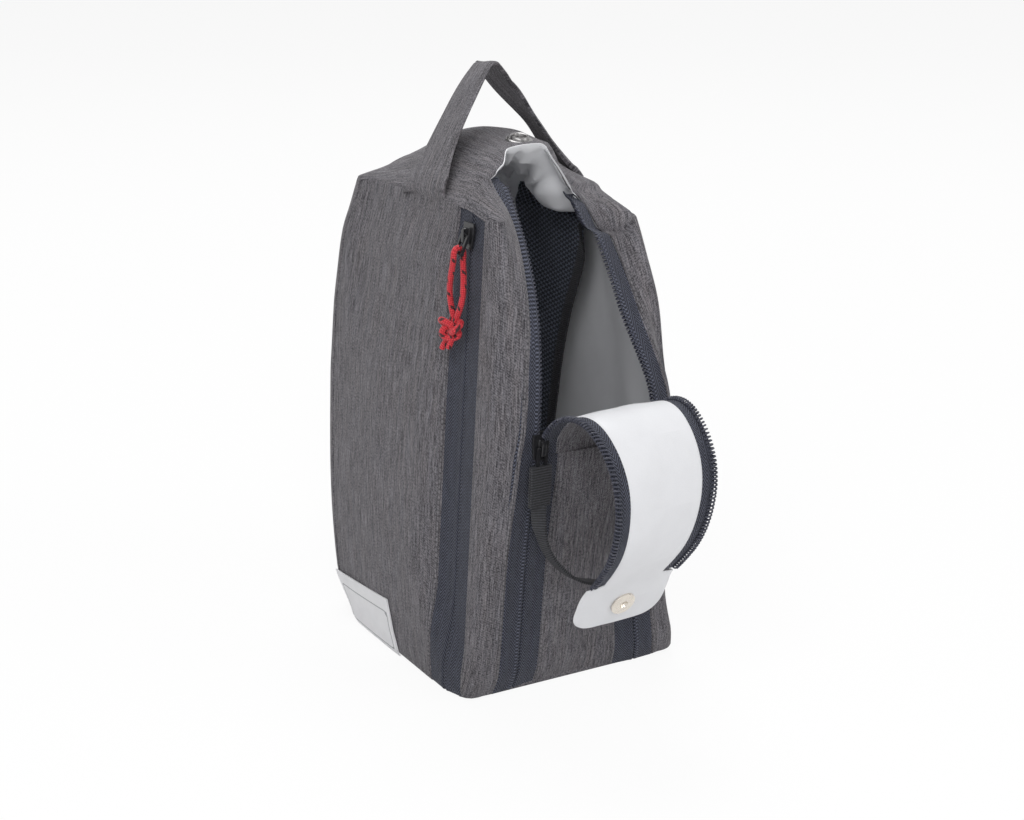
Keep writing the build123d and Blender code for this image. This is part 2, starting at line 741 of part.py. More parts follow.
def make_handle():
    """Grab handle: feet on the side seams and a strap that swings on them"""
    foot_high = handle_pivot_z + handle_end_w / 4

    def foot_rows(x):
        low = handle_foot_w / 2
        high = handle_end_w / 2
        return [[(x, handle_y - low, seam_z), (x, handle_y + low, seam_z)],
                [(x, handle_y - high, foot_high), (x, handle_y + high, foot_high)]]
    foot = sheet(foot_rows(seam_half_width + handle_foot_t), foot_rows(seam_half_width))
    save("handle_foot_right", foot)
    save("handle_foot_left", left(foot))

    rise = handle_top_z - handle_pivot_z
    outer_x = seam_half_width - handle_clear
    upright = []
    inside = []

    def station(x, z, w, shift, drop):
        upright.append([(x, -w / 2, z), (x, w / 2, z)])
        inside.append([(x - shift, -w / 2, z - drop), (x - shift, w / 2, z - drop)])
    station(outer_x, 0, handle_end_w, handle_t, 0)
    share, inward, w = handle_shape[0]
    station(outer_x - inward, rise * share, w, handle_t, 0)
    for share, inward, w in handle_shape[1:]:
        station(outer_x - inward, rise * share, w, handle_bent_t, handle_bent_t)
    station(0, rise, handle_top_w, 0, handle_t)
    full_out = upright + [[(-a[0], a[1], a[2]) for a in row] for row in reversed(upright[:-1])]
    full_in = inside + [[(-a[0], a[1], a[2]) for a in row] for row in reversed(inside[:-1])]
    strap = sheet(full_out, full_in)
    for s in (-1, 1):
        end = Pos(s * (outer_x - handle_t / 2), 0, 0) * Rot(0, 90, 0) * Cylinder(handle_end_w / 2, handle_t)
        below = Pos(0, 0, -handle_end_w) * Box(4 * outer_x, 2 * handle_end_w, 2 * handle_end_w)
        strap = strap + (end & below)
    place = Pos(0, handle_y, handle_pivot_z) * Rot(-handle_lean_deg, 0, 0)
    save("handle_strap", place * strap)


def make_pocket_slider():
    """Pocket slider with its ring, red cord loop and knot"""
    frame = side_frame(pocket_slider_z)
    front = -(fabric_t - tape_t) / 2 + slider_clear
    behind = -(fabric_t + tape_t) / 2 - coil_t - slider_clear
    body = slider_body(slider_w, slider_l, pocket_post_w, behind, front)
    save("pocket_slider", left(frame * body))

    pin = frame.from_local_coords(Vector(0, 0, pin_height(front)))
    hang = Plane(origin=pin, x_dir=frame.x_dir,
                 z_dir=Vector(cos(radians(ring_tilt_deg)), 0, sin(radians(ring_tilt_deg))))
    ring = ring_pull(pull_arm_w, ring_half_w - pull_arm_w, ring_l, ring_bar_r)
    save("pocket_pull", left(hang * ring))

    bar = hang.from_local_coords(Vector(0, -ring_l, 0))
    wall = Plane(origin=bar, x_dir=frame.x_dir, z_dir=frame.z_dir)
    bend = ring_bar_r + slider_clear + cord_d / 2
    leg_end = -knot_drop + knot_d / 2 + slider_clear
    route = [(1.8, leg_end, 0.4), (4.6, -25.5, 0.0), (5.0, -18.5, -0.8), (2.4, -11.0, -2.0),
             (-0.4, -4.5, -bend), (-0.3, bend, -bend), (0.3, bend, bend), (0.4, -4.5, bend + 0.1),
             (-2.6, -11.5, 2.4), (-5.3, -18.5, 1.2), (-4.4, -25.5, 0.8), (-1.8, leg_end, 0.4)]
    points = [wall.from_local_coords(Vector(*p)) for p in route]
    radii = []
    for a, b, c in zip(points, points[1:], points[2:]):
        turn = radians((b - a).get_angle(c - b))
        radii.append(0.45 * min((b - a).length, (c - b).length) / tan(turn / 2))
    print("cord radii", [round(r, 1) for r in radii])
    path = FilletPolyline(*points, radius=radii)
    section = Plane(origin=path @ 0, z_dir=path % 0) * Circle(cord_d / 2)
    cord = sweep(section, path=path)
    print("cord volume", round(cord.volume, 1), "section times length",
          round(pi * cord_d ** 2 / 4 * path.length, 1), "length", round(path.length, 1))
    save("pull_cord", left(cord))

    centre = wall.from_local_coords(Vector(0, -knot_drop, knot_stand))
    turn_r = knot_turn_d / 2
    knot = Plane(origin=centre, x_dir=frame.x_dir, z_dir=frame.z_dir) * (
        Torus(knot_d / 2 - turn_r, turn_r) + Sphere(knot_core_d / 2))
    tails = []
    for side, lean in zip((-1, 1), tail_lean_deg):
        a = radians(lean)
        tail = Cylinder(cord_d / 2, tail_l + knot_d / 2,
                        align=(Align.CENTER, Align.CENTER, Align.MIN))
        start = wall.from_local_coords(Vector((side - 0.5) * tail_apart / 2, -knot_drop, knot_stand))
        way = wall.from_local_coords(Vector(-sin(a), -cos(a), 0)) - wall.origin
        tails.append(Plane(origin=start, z_dir=way) * tail)
    save("cord_knot", left(knot + tails[0] + tails[1]))
    return pin


def make_mesh_pocket():
    """Mesh pocket on the inside of the right wall, open along its slanted bound edge"""
    flat = fabric_t + lining_t
    heights = (mesh_low_z, mesh_low_z + mesh_low_taper, mesh_high_z - mesh_high_taper, mesh_high_z)

    def front_y(z):
        share = (z - mesh_low_z) / (mesh_high_z - mesh_low_z)
        return mesh_front_low_y + share * (mesh_front_high_y - mesh_front_low_y)

    def face_x(z, add):
        edge = z in (heights[0], heights[-1])
        return half_width(z) - (flat if edge else mesh_depth) - add

    def row(z, add):
        x = face_x(z, add)
        rear = half_width(z) - (flat + add)
        return [(x, front_y(z), z), (x, mesh_rear_y - mesh_rear_taper, z), (rear, mesh_rear_y, z)]
    save("mesh_pocket", sheet([row(z, 0) for z in heights], [row(z, mesh_t) for z in heights]))

    def bound(z, add):
        x = face_x(z, add)
        return [(x, front_y(z) - binding_w, z), (x, front_y(z), z)]
    save("mesh_binding", sheet([bound(z, 0) for z in heights], [bound(z, binding_t) for z in heights]))


def make_label():
    """Sewn patch near the bottom of the left wall"""
    heights = (label_low_z, base_panel_t, wall_start_z, label_top_z)

    def row(z, inset):
        x = half_width(z) - inset
        return [(x, label_front_y, z), (x, label_rear_y, z)]
    save("label_patch", left(sheet([row(z, -label_t) for z in heights], [row(z, 0) for z in heights])))


def main():
    make_base()
    make_walls()
    make_front_panel()
    crown_blank = make_crown()
    make_main_zips()
    make_pocket()
    main_pin = make_main_sliders()
    make_flap()
    make_snap_socket(crown_blank)
    make_handle()
    pocket_pin = make_pocket_slider()
    make_mesh_pocket()
    make_label()
    print("zip lean", round(degrees(zip_lean), 3), "axis y", axis_y)
    print("main pin", main_pin, "pocket pin", pocket_pin, "wall tilt", round(degrees(wall_tilt), 3))


main()
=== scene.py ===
"""Soft toiletry bag: fabric, zips, cord and finishes laid over the fixed frame of the model."""

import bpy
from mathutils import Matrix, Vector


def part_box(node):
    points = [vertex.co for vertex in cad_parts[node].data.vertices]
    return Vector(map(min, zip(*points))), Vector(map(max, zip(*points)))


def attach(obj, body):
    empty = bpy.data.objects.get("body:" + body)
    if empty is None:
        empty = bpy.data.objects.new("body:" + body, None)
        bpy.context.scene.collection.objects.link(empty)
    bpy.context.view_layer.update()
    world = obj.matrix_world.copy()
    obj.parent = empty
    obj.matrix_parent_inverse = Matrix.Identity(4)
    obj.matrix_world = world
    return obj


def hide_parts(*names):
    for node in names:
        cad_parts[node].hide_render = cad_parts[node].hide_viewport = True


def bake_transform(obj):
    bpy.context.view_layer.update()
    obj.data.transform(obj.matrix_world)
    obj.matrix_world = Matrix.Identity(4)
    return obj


bl_info = {
    "name": "Toiletry bag",
    "version": (1, 0, 0),
    "blender": (4, 5, 0),
    "location": "View3D > Sidebar > Bag",
    "description": "Makes the fabric, zips and fittings of an upright toiletry bag over its frame",
    "category": "Object",
}

from math import cos, exp, pi, radians, sin, sqrt

import bpy
from bpy.props import FloatProperty, FloatVectorProperty, PointerProperty
from mathutils import Matrix, Vector, noise

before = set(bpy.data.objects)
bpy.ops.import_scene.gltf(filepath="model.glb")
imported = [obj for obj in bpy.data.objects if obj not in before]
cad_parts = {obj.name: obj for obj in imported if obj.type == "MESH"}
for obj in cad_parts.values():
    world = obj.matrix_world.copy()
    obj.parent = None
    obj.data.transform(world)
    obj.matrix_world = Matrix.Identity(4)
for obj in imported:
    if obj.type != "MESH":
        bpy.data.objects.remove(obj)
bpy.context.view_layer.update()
SIDES = (("right", 1), ("left", -1))

# Form of the bag, in millimetres
FABRIC_EDGE = 11.5            # fabric edge beside a zip, from the zip line
ZIP_X = 35.15                 # straight zip line, from the middle
FRONT_TOP = 137.0             # height of the lower front panel
SEAM_LOW = 250.0              # the walls lean in up to this height
ZIP_RADIUS = 158.0
ZIP_AXIS_Y = 68.0
ZIP_START = -5.0              # degrees, where the straight zip turns into the arc
ZIP_HALF_FOLD = 34.0
ZIP_LEAN = radians(4.811)
FOLD_Z = 149.0
ARC_START_Z = 135.28
ARC_TOP = 284.0               # length along the zip line to its upper end
SHOULDER_START = 259.0        # length along the zip line where it passes the side seams
SEAM_HALF = 48.5
CORNER_SHARE = 0.62           # share of a strip's row from the lip to the front corner
TAPE_Y = -61.5                # edge of the pocket zip, and of the right side panel
POCKET_Y = -49.5
POCKET_REAR_Y = -37.4
BACK_RADIUS = 14.0
CROWN_REAR = 77.5

# Heights with the zip line, front corner, side of that corner, and back
PROFILE = ((0.0, -67.0, -66.5, -64.5, 76.0),
           (3.0, -68.5, -68.0, -66.0, 78.0),
           (14.0, -72.5, -72.0, -68.5, 83.5),
           (75.0, -80.0, -77.0, -71.5, 92.0),
           (110.0, -86.0, -80.0, -73.5, 96.0),
           (135.0, -90.5, -82.5, -74.5, 97.5),
           (149.0, -91.1, -81.5, -74.0, 97.5),
           (183.0, -88.0, -78.5, -73.0, 95.0),
           (216.0, -76.0, -76.5, -71.5, 89.0),
           (250.0, -54.0, -70.0, -67.0, 78.0),
           (264.0, -46.0, -66.0, -64.0, 76.0))
# Side walls: height and how far the right and the left one swell out
SWELL = ((0.0, 9.0, 6.6), (15.0, 5.6, 6.2), (40.0, 4.2, 7.8), (60.0, 4.6, 8.7), (80.0, 5.0, 8.8),
         (120.0, 5.6, 8.0), (155.0, 5.4, 7.8), (178.0, 5.2, 6.4), (201.0, 3.8, 4.3), (224.0, 2.0, 3.9),
         (236.0, 0.7, 2.2), (247.0, 0.0, 1.0), (260.0, 0.0, 0.0))

# Fabric edge across from the zip line: length along the zip, then the left and the right edge
LIPS = ((135.0, 11.5, 11.5), (149.0, 9.8, 11.0), (160.0, 9.4, 10.6), (181.0, 8.1, 10.3), (201.0, 6.0, 10.3),
        (225.0, 4.8, 10.6), (250.0, 4.4, 10.8), (263.0, 6.0, 10.6), (273.0, 8.0, 10.0), (284.0, 8.8, 9.4))

# Ridge of the crown: y and height
RIDGE = ((-66.0, 264.0), (-44.0, 272.0), (-34.0, 276.6), (-25.5, 279.0), (-11.0, 280.2), (12.0, 282.4),
         (36.0, 279.6), (56.0, 272.0), (68.0, 264.5), (80.0, 257.0))
# Side seams: y and height
SEAM = ((-72.0, 250.0), (-61.5, 251.5), (-42.0, 254.8), (0.0, 254.6), (40.0, 254.2), (78.0, 252.5))


def smooth(rows, at, column):
    """Value of a column on a smooth line through the rows of a table"""
    if at <= rows[0][0]:
        return rows[0][column]
    if at >= rows[-1][0]:
        return rows[-1][column]
    i = 0
    while rows[i + 1][0] < at:
        i += 1
    before, low, high, after = rows[max(i - 1, 0)], rows[i], rows[i + 1], rows[min(i + 2, len(rows) - 1)]
    span = high[0] - low[0]
    t = (at - low[0]) / span
    start = (high[column] - before[column]) / (high[0] - before[0]) * span
    end = (after[column] - low[column]) / (after[0] - low[0]) * span
    return ((2 * t ** 3 - 3 * t ** 2 + 1) * low[column] + (t ** 3 - 2 * t ** 2 + t) * start
            + (3 * t ** 2 - 2 * t ** 3) * high[column] + (t ** 3 - t ** 2) * end)


def half_width(z):
    """Half width of the bag at height z"""
    if z <= 3:
        return 60.5 + 0.5 * z
    if z <= 14:
        return 62 + (z - 3) / 11
    return 63 - 0.061441 * (z - 14)


def eased(t):
    """Smooth step from 0 to 1"""
    t = min(max(t, 0.0), 1.0)
    return t * t * (3 - 2 * t)


def spline(points, per_span):
    """Points on a smooth line through the given ones"""
    line = []
    for i in range(len(points) - 1):
        a, b, c, d = (points[max(i - 1, 0)], points[i], points[i + 1], points[min(i + 2, len(points) - 1)])
        for k in range(per_span):
            t = k / per_span
            line.append(0.5 * (2 * b + (c - a) * t + (2 * a - 5 * b + 4 * c - d) * t * t
                               + (3 * b - a - 3 * c + d) * t ** 3))
    return line + [points[-1].copy()]


def lengths(line):
    """Length along a line at each of its points"""
    total = [0.0]
    for a, b in zip(line, line[1:]):
        total.append(total[-1] + (b - a).length)
    return total


def column_lengths(points):
    """Lengths up each column of a grid of points"""
    return [lengths([row[i] for row in points]) for i in range(len(points[0]))]


def way_at(line, i):
    """Direction of a line at one of its points"""
    return (line[min(i + 1, len(line) - 1)] - line[max(i - 1, 0)]).normalized()


def rolling(x, y, z):
    """Smooth noise at a place, from -1 to 1"""
    return noise.noise(Vector((x, y, z)))


def at_length(line, sums, distance):
    """Point of a line at a length along it"""
    distance = min(max(distance, 0.0), sums[-1])
    i = 0
    while i < len(sums) - 2 and sums[i + 1] < distance:
        i += 1
    step = sums[i + 1] - sums[i]
    return line[i].lerp(line[i + 1], (distance - sums[i]) / step if step else 0.0)


def zip_at(t, across, out):
    """Point beside the right zip line: t along it, across from it, out from the tape"""
    pull = 1.6 * eased((t - 165) / 60)
    if t <= ARC_START_Z:
        return Vector((ZIP_X + across, smooth(PROFILE, t, 1) + 1.1 - out, t))
    a = radians(ZIP_START) + (t - ARC_START_Z) / ZIP_RADIUS
    reach = ZIP_RADIUS + out
    x = ZIP_HALF_FOLD - reach * sin(a) * sin(ZIP_LEAN) + across * cos(ZIP_LEAN) - pull
    return Vector((x, ZIP_AXIS_Y - reach * cos(a),
                   FOLD_Z + reach * sin(a) * cos(ZIP_LEAN) + across * sin(ZIP_LEAN)))


def lip_across(t, side):
    """How far the fabric's edge lies from the zip line"""
    return smooth(LIPS, t, 2 if side > 0 else 1)


def lip_point(t, side):
    """Edge of the fabric beside the zip"""
    return zip_at(t, lip_across(t, side), 1.25)


def strip_row(t, side):
    """Line from the lip round the front corner to the side, at length t along the zip"""
    lip = lip_point(t, side)
    z = lip.z
    h = half_width(z)
    front, side = smooth(PROFILE, z, 2), smooth(PROFILE, z, 3)
    first = Vector((h - 6, front, z))
    corner = Vector((h - 3.0, front + 0.3 * (side - front), z))
    second = Vector((h - 1.3, side, z))
    middle = lip.lerp(first, 0.5)
    middle.y += 0.4 - 1.2 * eased((z - 120) / 80)
    return spline([lip, middle, first, corner], 8), spline([corner, second, Vector((h, TAPE_Y, z))], 8)


def strip_point(u, t, side=1):
    """Point of the front strip, at a share u of its row"""
    ahead, aside = strip_row(t, side)
    if u <= CORNER_SHARE:
        sums = lengths(ahead)
        return at_length(ahead, sums, sums[-1] * u / CORNER_SHARE)
    sums = lengths(aside)
    return at_length(aside, sums, sums[-1] * (u - CORNER_SHARE) / (1 - CORNER_SHARE))


def seam_point(y):
    """Point of the right side seam"""
    z = smooth(SEAM, y, 1)
    x = SEAM_HALF + 0.25 - 2.6 * eased((-62 - y) / 10)
    return Vector((x, y, z))


def crown_z(x, y):
    """Height of the crown, arched between the side seams"""
    side = smooth(SEAM, y, 1)
    share = min(abs(x) / SEAM_HALF, 1.0)
    return side + (smooth(RIDGE, y, 1) - side) * (1 - share ** (2.3 - 0.8 * eased((y - 10) / 50)))


def crown_front(x):
    """Front edge of the crown: the bridge over the mouth, then the slanted seams"""
    x = abs(x)
    if x <= 24:
        return -25.5 - 11.5 * eased((x - 12.5) / 11.5)
    return -37.0 - 5.5 * (x - 24) / (SEAM_HALF - 24)


def settle(p):
    """Where a point of the bag comes to rest: sides swollen, right shoulder, lip and crown fallen back"""
    side = 1 if p.x > 0 else -1
    across = abs(p.x)
    reach = eased((p.y + 50 + 25 * (1 - eased(p.z / 60))) / 30) * eased(across / 52)
    swell = smooth(SWELL, p.z, 1 if side > 0 else 2) * reach
    sunk = eased((p.x - 22) / 26) * eased((p.z - 190) / 62) * eased((-5 - p.y) / 50)
    lean = eased((p.z - 150) / 55) * eased((-16 - p.y) / 16) * eased((p.x - 4) / 14) * eased((54 - p.x) / 16)
    fall = (eased((p.x - 15) / 12) * (1 - 0.88 * eased((p.x - 34) / 15)) * eased((26 - p.y) / 40)
            * eased((p.z - 236) / 18))
    corner = eased((-p.x - 36) / 12) * eased((p.y - 54) / 16) * eased((p.z - 150) / 60)
    foot = eased((across - 44) / 20) * eased((p.y - 46) / 22) * eased((26 - p.z) / 26)
    toe = eased((p.x + 5) / 45) * eased((-36 - p.y) / 24) * eased((40 - p.z) / 40)
    return Vector((p.x + side * (swell + 2.4 * corner - 2.2 * foot) - 2.0 * sunk - 4.5 * lean + 2.5 * toe,
                   p.y + 5.5 * sunk + 6.5 * lean + 2.8 * corner - 4.0 * foot - 5.0 * toe,
                   p.z - 5.0 * sunk - 2.0 * lean - 12.0 * fall))


def spread(length, count, both=True):
    """Shares from 0 to 1, closer together at the ends of a length in millimetres"""
    ends = [0.0] + [e / length for e in (0.3, 0.7, 1.2, 1.9, 3.0)]
    last = [1 - e for e in reversed(ends)] if both else [1.0]
    inner = count - 1
    start, stop = ends[-1], last[0]
    middle = [start + (stop - start) * (i + 1) / (inner + 1) for i in range(inner)]
    return ends + middle + last


def steps(count, start=0.0, span=1.0):
    """Equal steps along a stretch"""
    return [start + span * i / count for i in range(count + 1)]


def form(us, vs, place):
    """Rows of points: one row for each v"""
    return [[place(u, v) for u in us] for v in vs]


def outward(points, j, i):
    """Direction out of a grid of points"""
    row, last_j, last_i = points[j], len(points) - 1, len(points[0]) - 1
    across = row[min(i + 1, last_i)] - row[max(i - 1, 0)]
    along = points[min(j + 1, last_j)][i] - points[max(j - 1, 0)][i]
    return across.cross(along).normalized()


def lift(points, amount):
    """Moves each point out by amount(row, column, point)"""
    return [[p + outward(points, j, i) * amount(j, i, p) for i, p in enumerate(row)]
            for j, row in enumerate(points)]


def curl(d, reach=1.8, depth=1.5):
    """How far a sewn edge turns in, at a distance from its seam"""
    if d >= reach:
        return 0.0
    return depth * (1 - sqrt(max(0.0, 1 - (1 - d / reach) ** 2)))


def sewn(points, ripple=0.5, size=34.0, edges="lrbt", weight=None, seed=0.0):
    """Hangs the tab's stretch on the snap tab's body, and bakes any other stretch's placement into its mesh
    """
    rows = [lengths(row) for row in points]
    columns = column_lengths(points)

    def amount(j, i, p):
        near = []
        if "l" in edges:
            near.append((rows[j][i], 1.0))
        if "r" in edges:
            near.append((rows[j][-1] - rows[j][i], 1.0))
        if "b" in edges:
            near.append((columns[i][j], 1.0))
        if "t" in edges:
            near.append((columns[i][-1] - columns[i][j], weight(j, i) if weight else 1.0))
        turned = max(curl(d) * w for d, w in near)
        calm = eased(min([d for d, w in near if w > 0.5] or [20.0]) / 16)
        wave = noise.noise(Vector((p.x, p.y, p.z * 0.45)) / size + Vector((seed, 3.1, 7.7)))
        fine = noise.noise(Vector((p.x, p.y, p.z * 0.35)) / (size * 0.38) + Vector((1.3, seed, 2.9)))
        return (wave + 0.4 * fine) * ripple * calm * 1.6 - turned
    return lift(points, amount)


def sided(points, side):
    """A row of points as it lies on the right, or mirrored to the left"""
    return [Vector((side * p.x, p.y, p.z)) for p in points]


def mirrored(points, side):
    """Rows of points as they lie on the right, or mirrored to the left"""
    return [sided(row, side) for row in points]


def panel(points, sew, drop, **waves):
    """Moves a panel inwards for its lining, then sews its edges in"""
    if drop:
        points = lift(points, lambda j, i, p: -drop)
    return sewn(points, **waves) if sew else points


def alone():
    """Selects nothing"""
    if bpy.context.object and bpy.context.object.mode != "OBJECT":
        bpy.ops.object.mode_set(mode="OBJECT")
    bpy.ops.object.select_all(action="DESELECT")


def only(piece):
    """Selects one piece"""
    alone()
    piece.select_set(True)
    bpy.context.view_layer.objects.active = piece


def cloth(name, points, flip=False):
    """A grid laid on rows of points in millimetres, with its weave and edge maps in metres"""
    across, along = len(points[0]) - 1, len(points) - 1
    alone()
    bpy.ops.mesh.primitive_grid_add(x_subdivisions=across, y_subdivisions=along, size=1)
    piece = bpy.context.object
    piece.name = name
    mesh = piece.data
    mesh.name = name
    rows = [lengths(row) for row in points]
    spine = lengths([row[across // 2] for row in points])
    spots = [(round((v.co.x + 0.5) * across), round((v.co.y + 0.5) * along)) for v in mesh.vertices]
    for vertex, (i, j) in zip(mesh.vertices, spots):
        vertex.co = points[j][i] * 0.001
    weave = mesh.uv_layers[0] if mesh.uv_layers else mesh.uv_layers.new(name="weave")
    weave.name = "weave"
    edge = mesh.uv_layers.new(name="edge")
    weave = mesh.uv_layers["weave"]
    for loop in mesh.loops:
        i, j = spots[loop.vertex_index]
        run = rows[j]
        weave.data[loop.index].uv = ((run[i] - run[across // 2]) * 0.001, spine[j] * 0.001)
        edge.data[loop.index].uv = (min(run[i], run[-1] - run[i]) * 0.001, spine[j] * 0.001)
    if flip:
        mesh.flip_normals()
    return piece


def edited(piece, *jobs):
    """Runs jobs of edit mode on the whole of a piece"""
    only(piece)
    bpy.ops.object.mode_set(mode="EDIT")
    bpy.ops.mesh.select_all(action="SELECT")
    for job, settings in jobs:
        job(**settings)
    bpy.ops.object.mode_set(mode="OBJECT")
    return piece


def closed(piece):
    """Welds the seams of a closed form and turns its faces outwards"""
    return edited(piece, (bpy.ops.mesh.remove_doubles, {"threshold": 0.000001}),
                  (bpy.ops.mesh.normals_make_consistent, {"inside": False}))


def joined(name, pieces, merge=0.0):
    """Pieces made one"""
    alone()
    for piece in pieces:
        piece.select_set(True)
    bpy.context.view_layer.objects.active = pieces[0]
    bpy.ops.object.join()
    whole = bpy.context.object
    whole.name = name
    whole.data.name = name
    if merge:
        edited(whole, (bpy.ops.mesh.remove_doubles, {"threshold": merge}))
    return whole


def modify(piece, kind, **settings):
    """Adds a modifier and applies it"""
    only(piece)
    bpy.ops.object.modifier_add(type=kind)
    modifier = piece.modifiers[-1]
    for key, value in settings.items():
        setattr(modifier, key, value)
    bpy.ops.object.modifier_apply(modifier=modifier.name)
    return piece


def thicken(piece, thickness, offset=-1.0):
    """Gives a sheet its thickness, in millimetres, inwards by default"""
    return modify(piece, "SOLIDIFY", thickness=thickness * 0.001, offset=offset)


def rounded(piece, width, segments=2):
    """Rounds the sharp edges of a piece, by a width in millimetres"""
    return modify(piece, "BEVEL", width=width * 0.001, segments=segments, limit_method="ANGLE")


def finished(piece, paint, body, replaced=(), settled=None):
    """Settles a piece of the bag, smooths and paints it, and hangs it on its body"""
    settled = body == "bag" if settled is None else settled
    only(piece)
    if settled:
        for vertex in piece.data.vertices:
            vertex.co = settle(vertex.co * 1000) * 0.001
    bpy.ops.object.shade_smooth_by_angle(angle=radians(40))
    piece.data.materials.clear()
    piece.data.materials.append(paint)
    if body:
        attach(piece, body)
    if replaced:
        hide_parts(*replaced)
    return piece


def hung(piece, thick, paint, nodes, body="bag", offset=-1.0):
    """A sheet given its thickness, painted and hung on its body"""
    thicken(piece, thick, offset)
    return finished(piece, paint, body, nodes)


def declare_sheet(points):
    """Works out the width, height and area of a sheet of points, and keeps none of them"""
    width = max(lengths(row)[-1] for row in points) * 0.001
    height = max(column[-1] for column in column_lengths(points)) * 0.001
    area = sum(((b[i + 1] - a[i]).cross(b[i] - a[i + 1])).length / 2
               for a, b in zip(points, points[1:]) for i in range(len(a) - 1)) * 1e-6


def round_angles(sides):
    """Angles once round, where the last is the first again"""
    return [2 * pi * (s % sides) / sides for s in range(sides + 1)]


def tube(name, line, radius, sides, closed_ends=True):
    """A round tube along points in millimetres, with a map of its length and girth in metres"""
    reach = radius if callable(radius) else lambda s, a: radius
    sums = lengths(line)
    rows = []
    normal = (line[1] - line[0]).normalized().orthogonal().normalized()
    for k, point in enumerate(line):
        way = way_at(line, k)
        normal = (normal - way * normal.dot(way)).normalized()
        other = way.cross(normal)
        rows.append([point + (normal * cos(a) + other * sin(a)) * reach(sums[k], a)
                     for a in round_angles(sides)])
    if closed_ends:
        rows = [[line[0]] * (sides + 1)] + rows + [[line[-1]] * (sides + 1)]
    return closed(cloth(name, rows))


def sign(operation, swapped=False):
    """What Shade does for one arithmetic sign"""
    def work(self, other=0.0):
        first, second = (other, self) if swapped else (self, other)
        return self.paint.math(operation, first, second)
    return work


class Shade:
    """A value of a node tree that can be used in plain expressions"""
    __add__ = __radd__ = sign("ADD")
    __sub__ = sign("SUBTRACT")
    __rsub__ = sign("SUBTRACT", swapped=True)
    __mul__ = __rmul__ = sign("MULTIPLY")
    __truediv__ = sign("DIVIDE")
    __pow__ = sign("POWER")
    __lt__ = sign("LESS_THAN")
    __gt__ = sign("GREATER_THAN")
    __mod__ = sign("FLOORED_MODULO")
    __abs__ = sign("ABSOLUTE")

    def __init__(self, paint, socket):
        self.paint = paint
        self.socket = socket


class Paint:
    """The node tree of a material or a world, with one method for any node"""

    def __init__(self, name, kind="materials"):
        self.material = getattr(bpy.data, kind).new(name)
        self.material.use_nodes = True
        self.tree = self.material.node_tree
        self.tree.nodes.clear()

    def node(self, kind, settings, inputs, out=0):
        made = self.tree.nodes.new(kind)
        stops = settings.pop("stops", None)
        for key, value in settings.items():
            setattr(made, key, value)
        if stops:
            while len(made.color_ramp.elements) < len(stops):
                made.color_ramp.elements.new(0.5)
            for element, (place, colour) in zip(made.color_ramp.elements, stops):
                element.position = place
                element.color = (*colour, 1.0)
        for key, value in inputs.items():
            socket = made.inputs[key]
            if isinstance(value, Shade):
                self.tree.links.new(value.socket, socket)
            elif isinstance(value, (tuple, list, Vector)) and socket.type == "RGBA" and len(value) == 3:
                socket.default_value = (*value, 1.0)
            else:
                socket.default_value = value
        return Shade(self, made.outputs[out]) if made.outputs else None

    def uv(self, name="weave"):
        where = self.node("ShaderNodeUVMap", {"uv_map": name}, {})
        return (self.node("ShaderNodeSeparateXYZ", {}, {0: where}, 0),
                self.node("ShaderNodeSeparateXYZ", {}, {0: where}, 1))

    def place(self):
        return self.node("ShaderNodeTexCoord", {}, {}, "Object")

    def point(self, x, y):
        return self.node("ShaderNodeCombineXYZ", {}, {0: x, 1: y})

    def noise(self, where, scale, detail=2.0, roughness=0.5):
        return self.node("ShaderNodeTexNoise", {},
                         {"Vector": where, "Scale": scale, "Detail": detail, "Roughness": roughness})

    def grain(self, x, y, detail=2.0, roughness=0.5):
        """Noise in a plane, with its own scale each way"""
        return self.noise(self.point(x, y), 1.0, detail, roughness)

    def math(self, operation, *values):
        return self.node("ShaderNodeMath", {"operation": operation}, dict(enumerate(values)))

    def sine(self, value):
        return self.math("SINE", value)

    def wave(self, value, length):
        return self.sine(value * (2 * pi / length))

    def ray(self, kind):
        return self.node("ShaderNodeLightPath", {}, {}, "Is %s Ray" % kind)

    def ramp(self, value, stops):
        return self.node("ShaderNodeValToRGB", {"stops": stops}, {0: value})

    def mix(self, factor, first, second, way="MIX"):
        return self.node("ShaderNodeMix", {"data_type": "RGBA", "blend_type": way},
                         {0: factor, 6: first, 7: second}, 2)

    def bump(self, height, distance, strength):
        return self.node("ShaderNodeBump", {}, {"Height": height, "Distance": distance, "Strength": strength})

    def finish(self, **inputs):
        """A principled surface from plain names of its sockets"""
        names = {"colour": "Base Color", "roughness": "Roughness", "metallic": "Metallic", "normal": "Normal",
                 "coat": "Coat Weight", "coat_roughness": "Coat Roughness", "sheen": "Sheen Weight",
                 "sheen_roughness": "Sheen Roughness", "specular": "Specular IOR Level", "alpha": "Alpha"}
        shader = self.node("ShaderNodeBsdfPrincipled", {}, {names[k]: v for k, v in inputs.items()})
        self.node("ShaderNodeOutputMaterial", {}, {"Surface": shader})
        return self.material


def scaled(colour, k):
    """A colour made darker or lighter"""
    return tuple(c * k for c in colour)


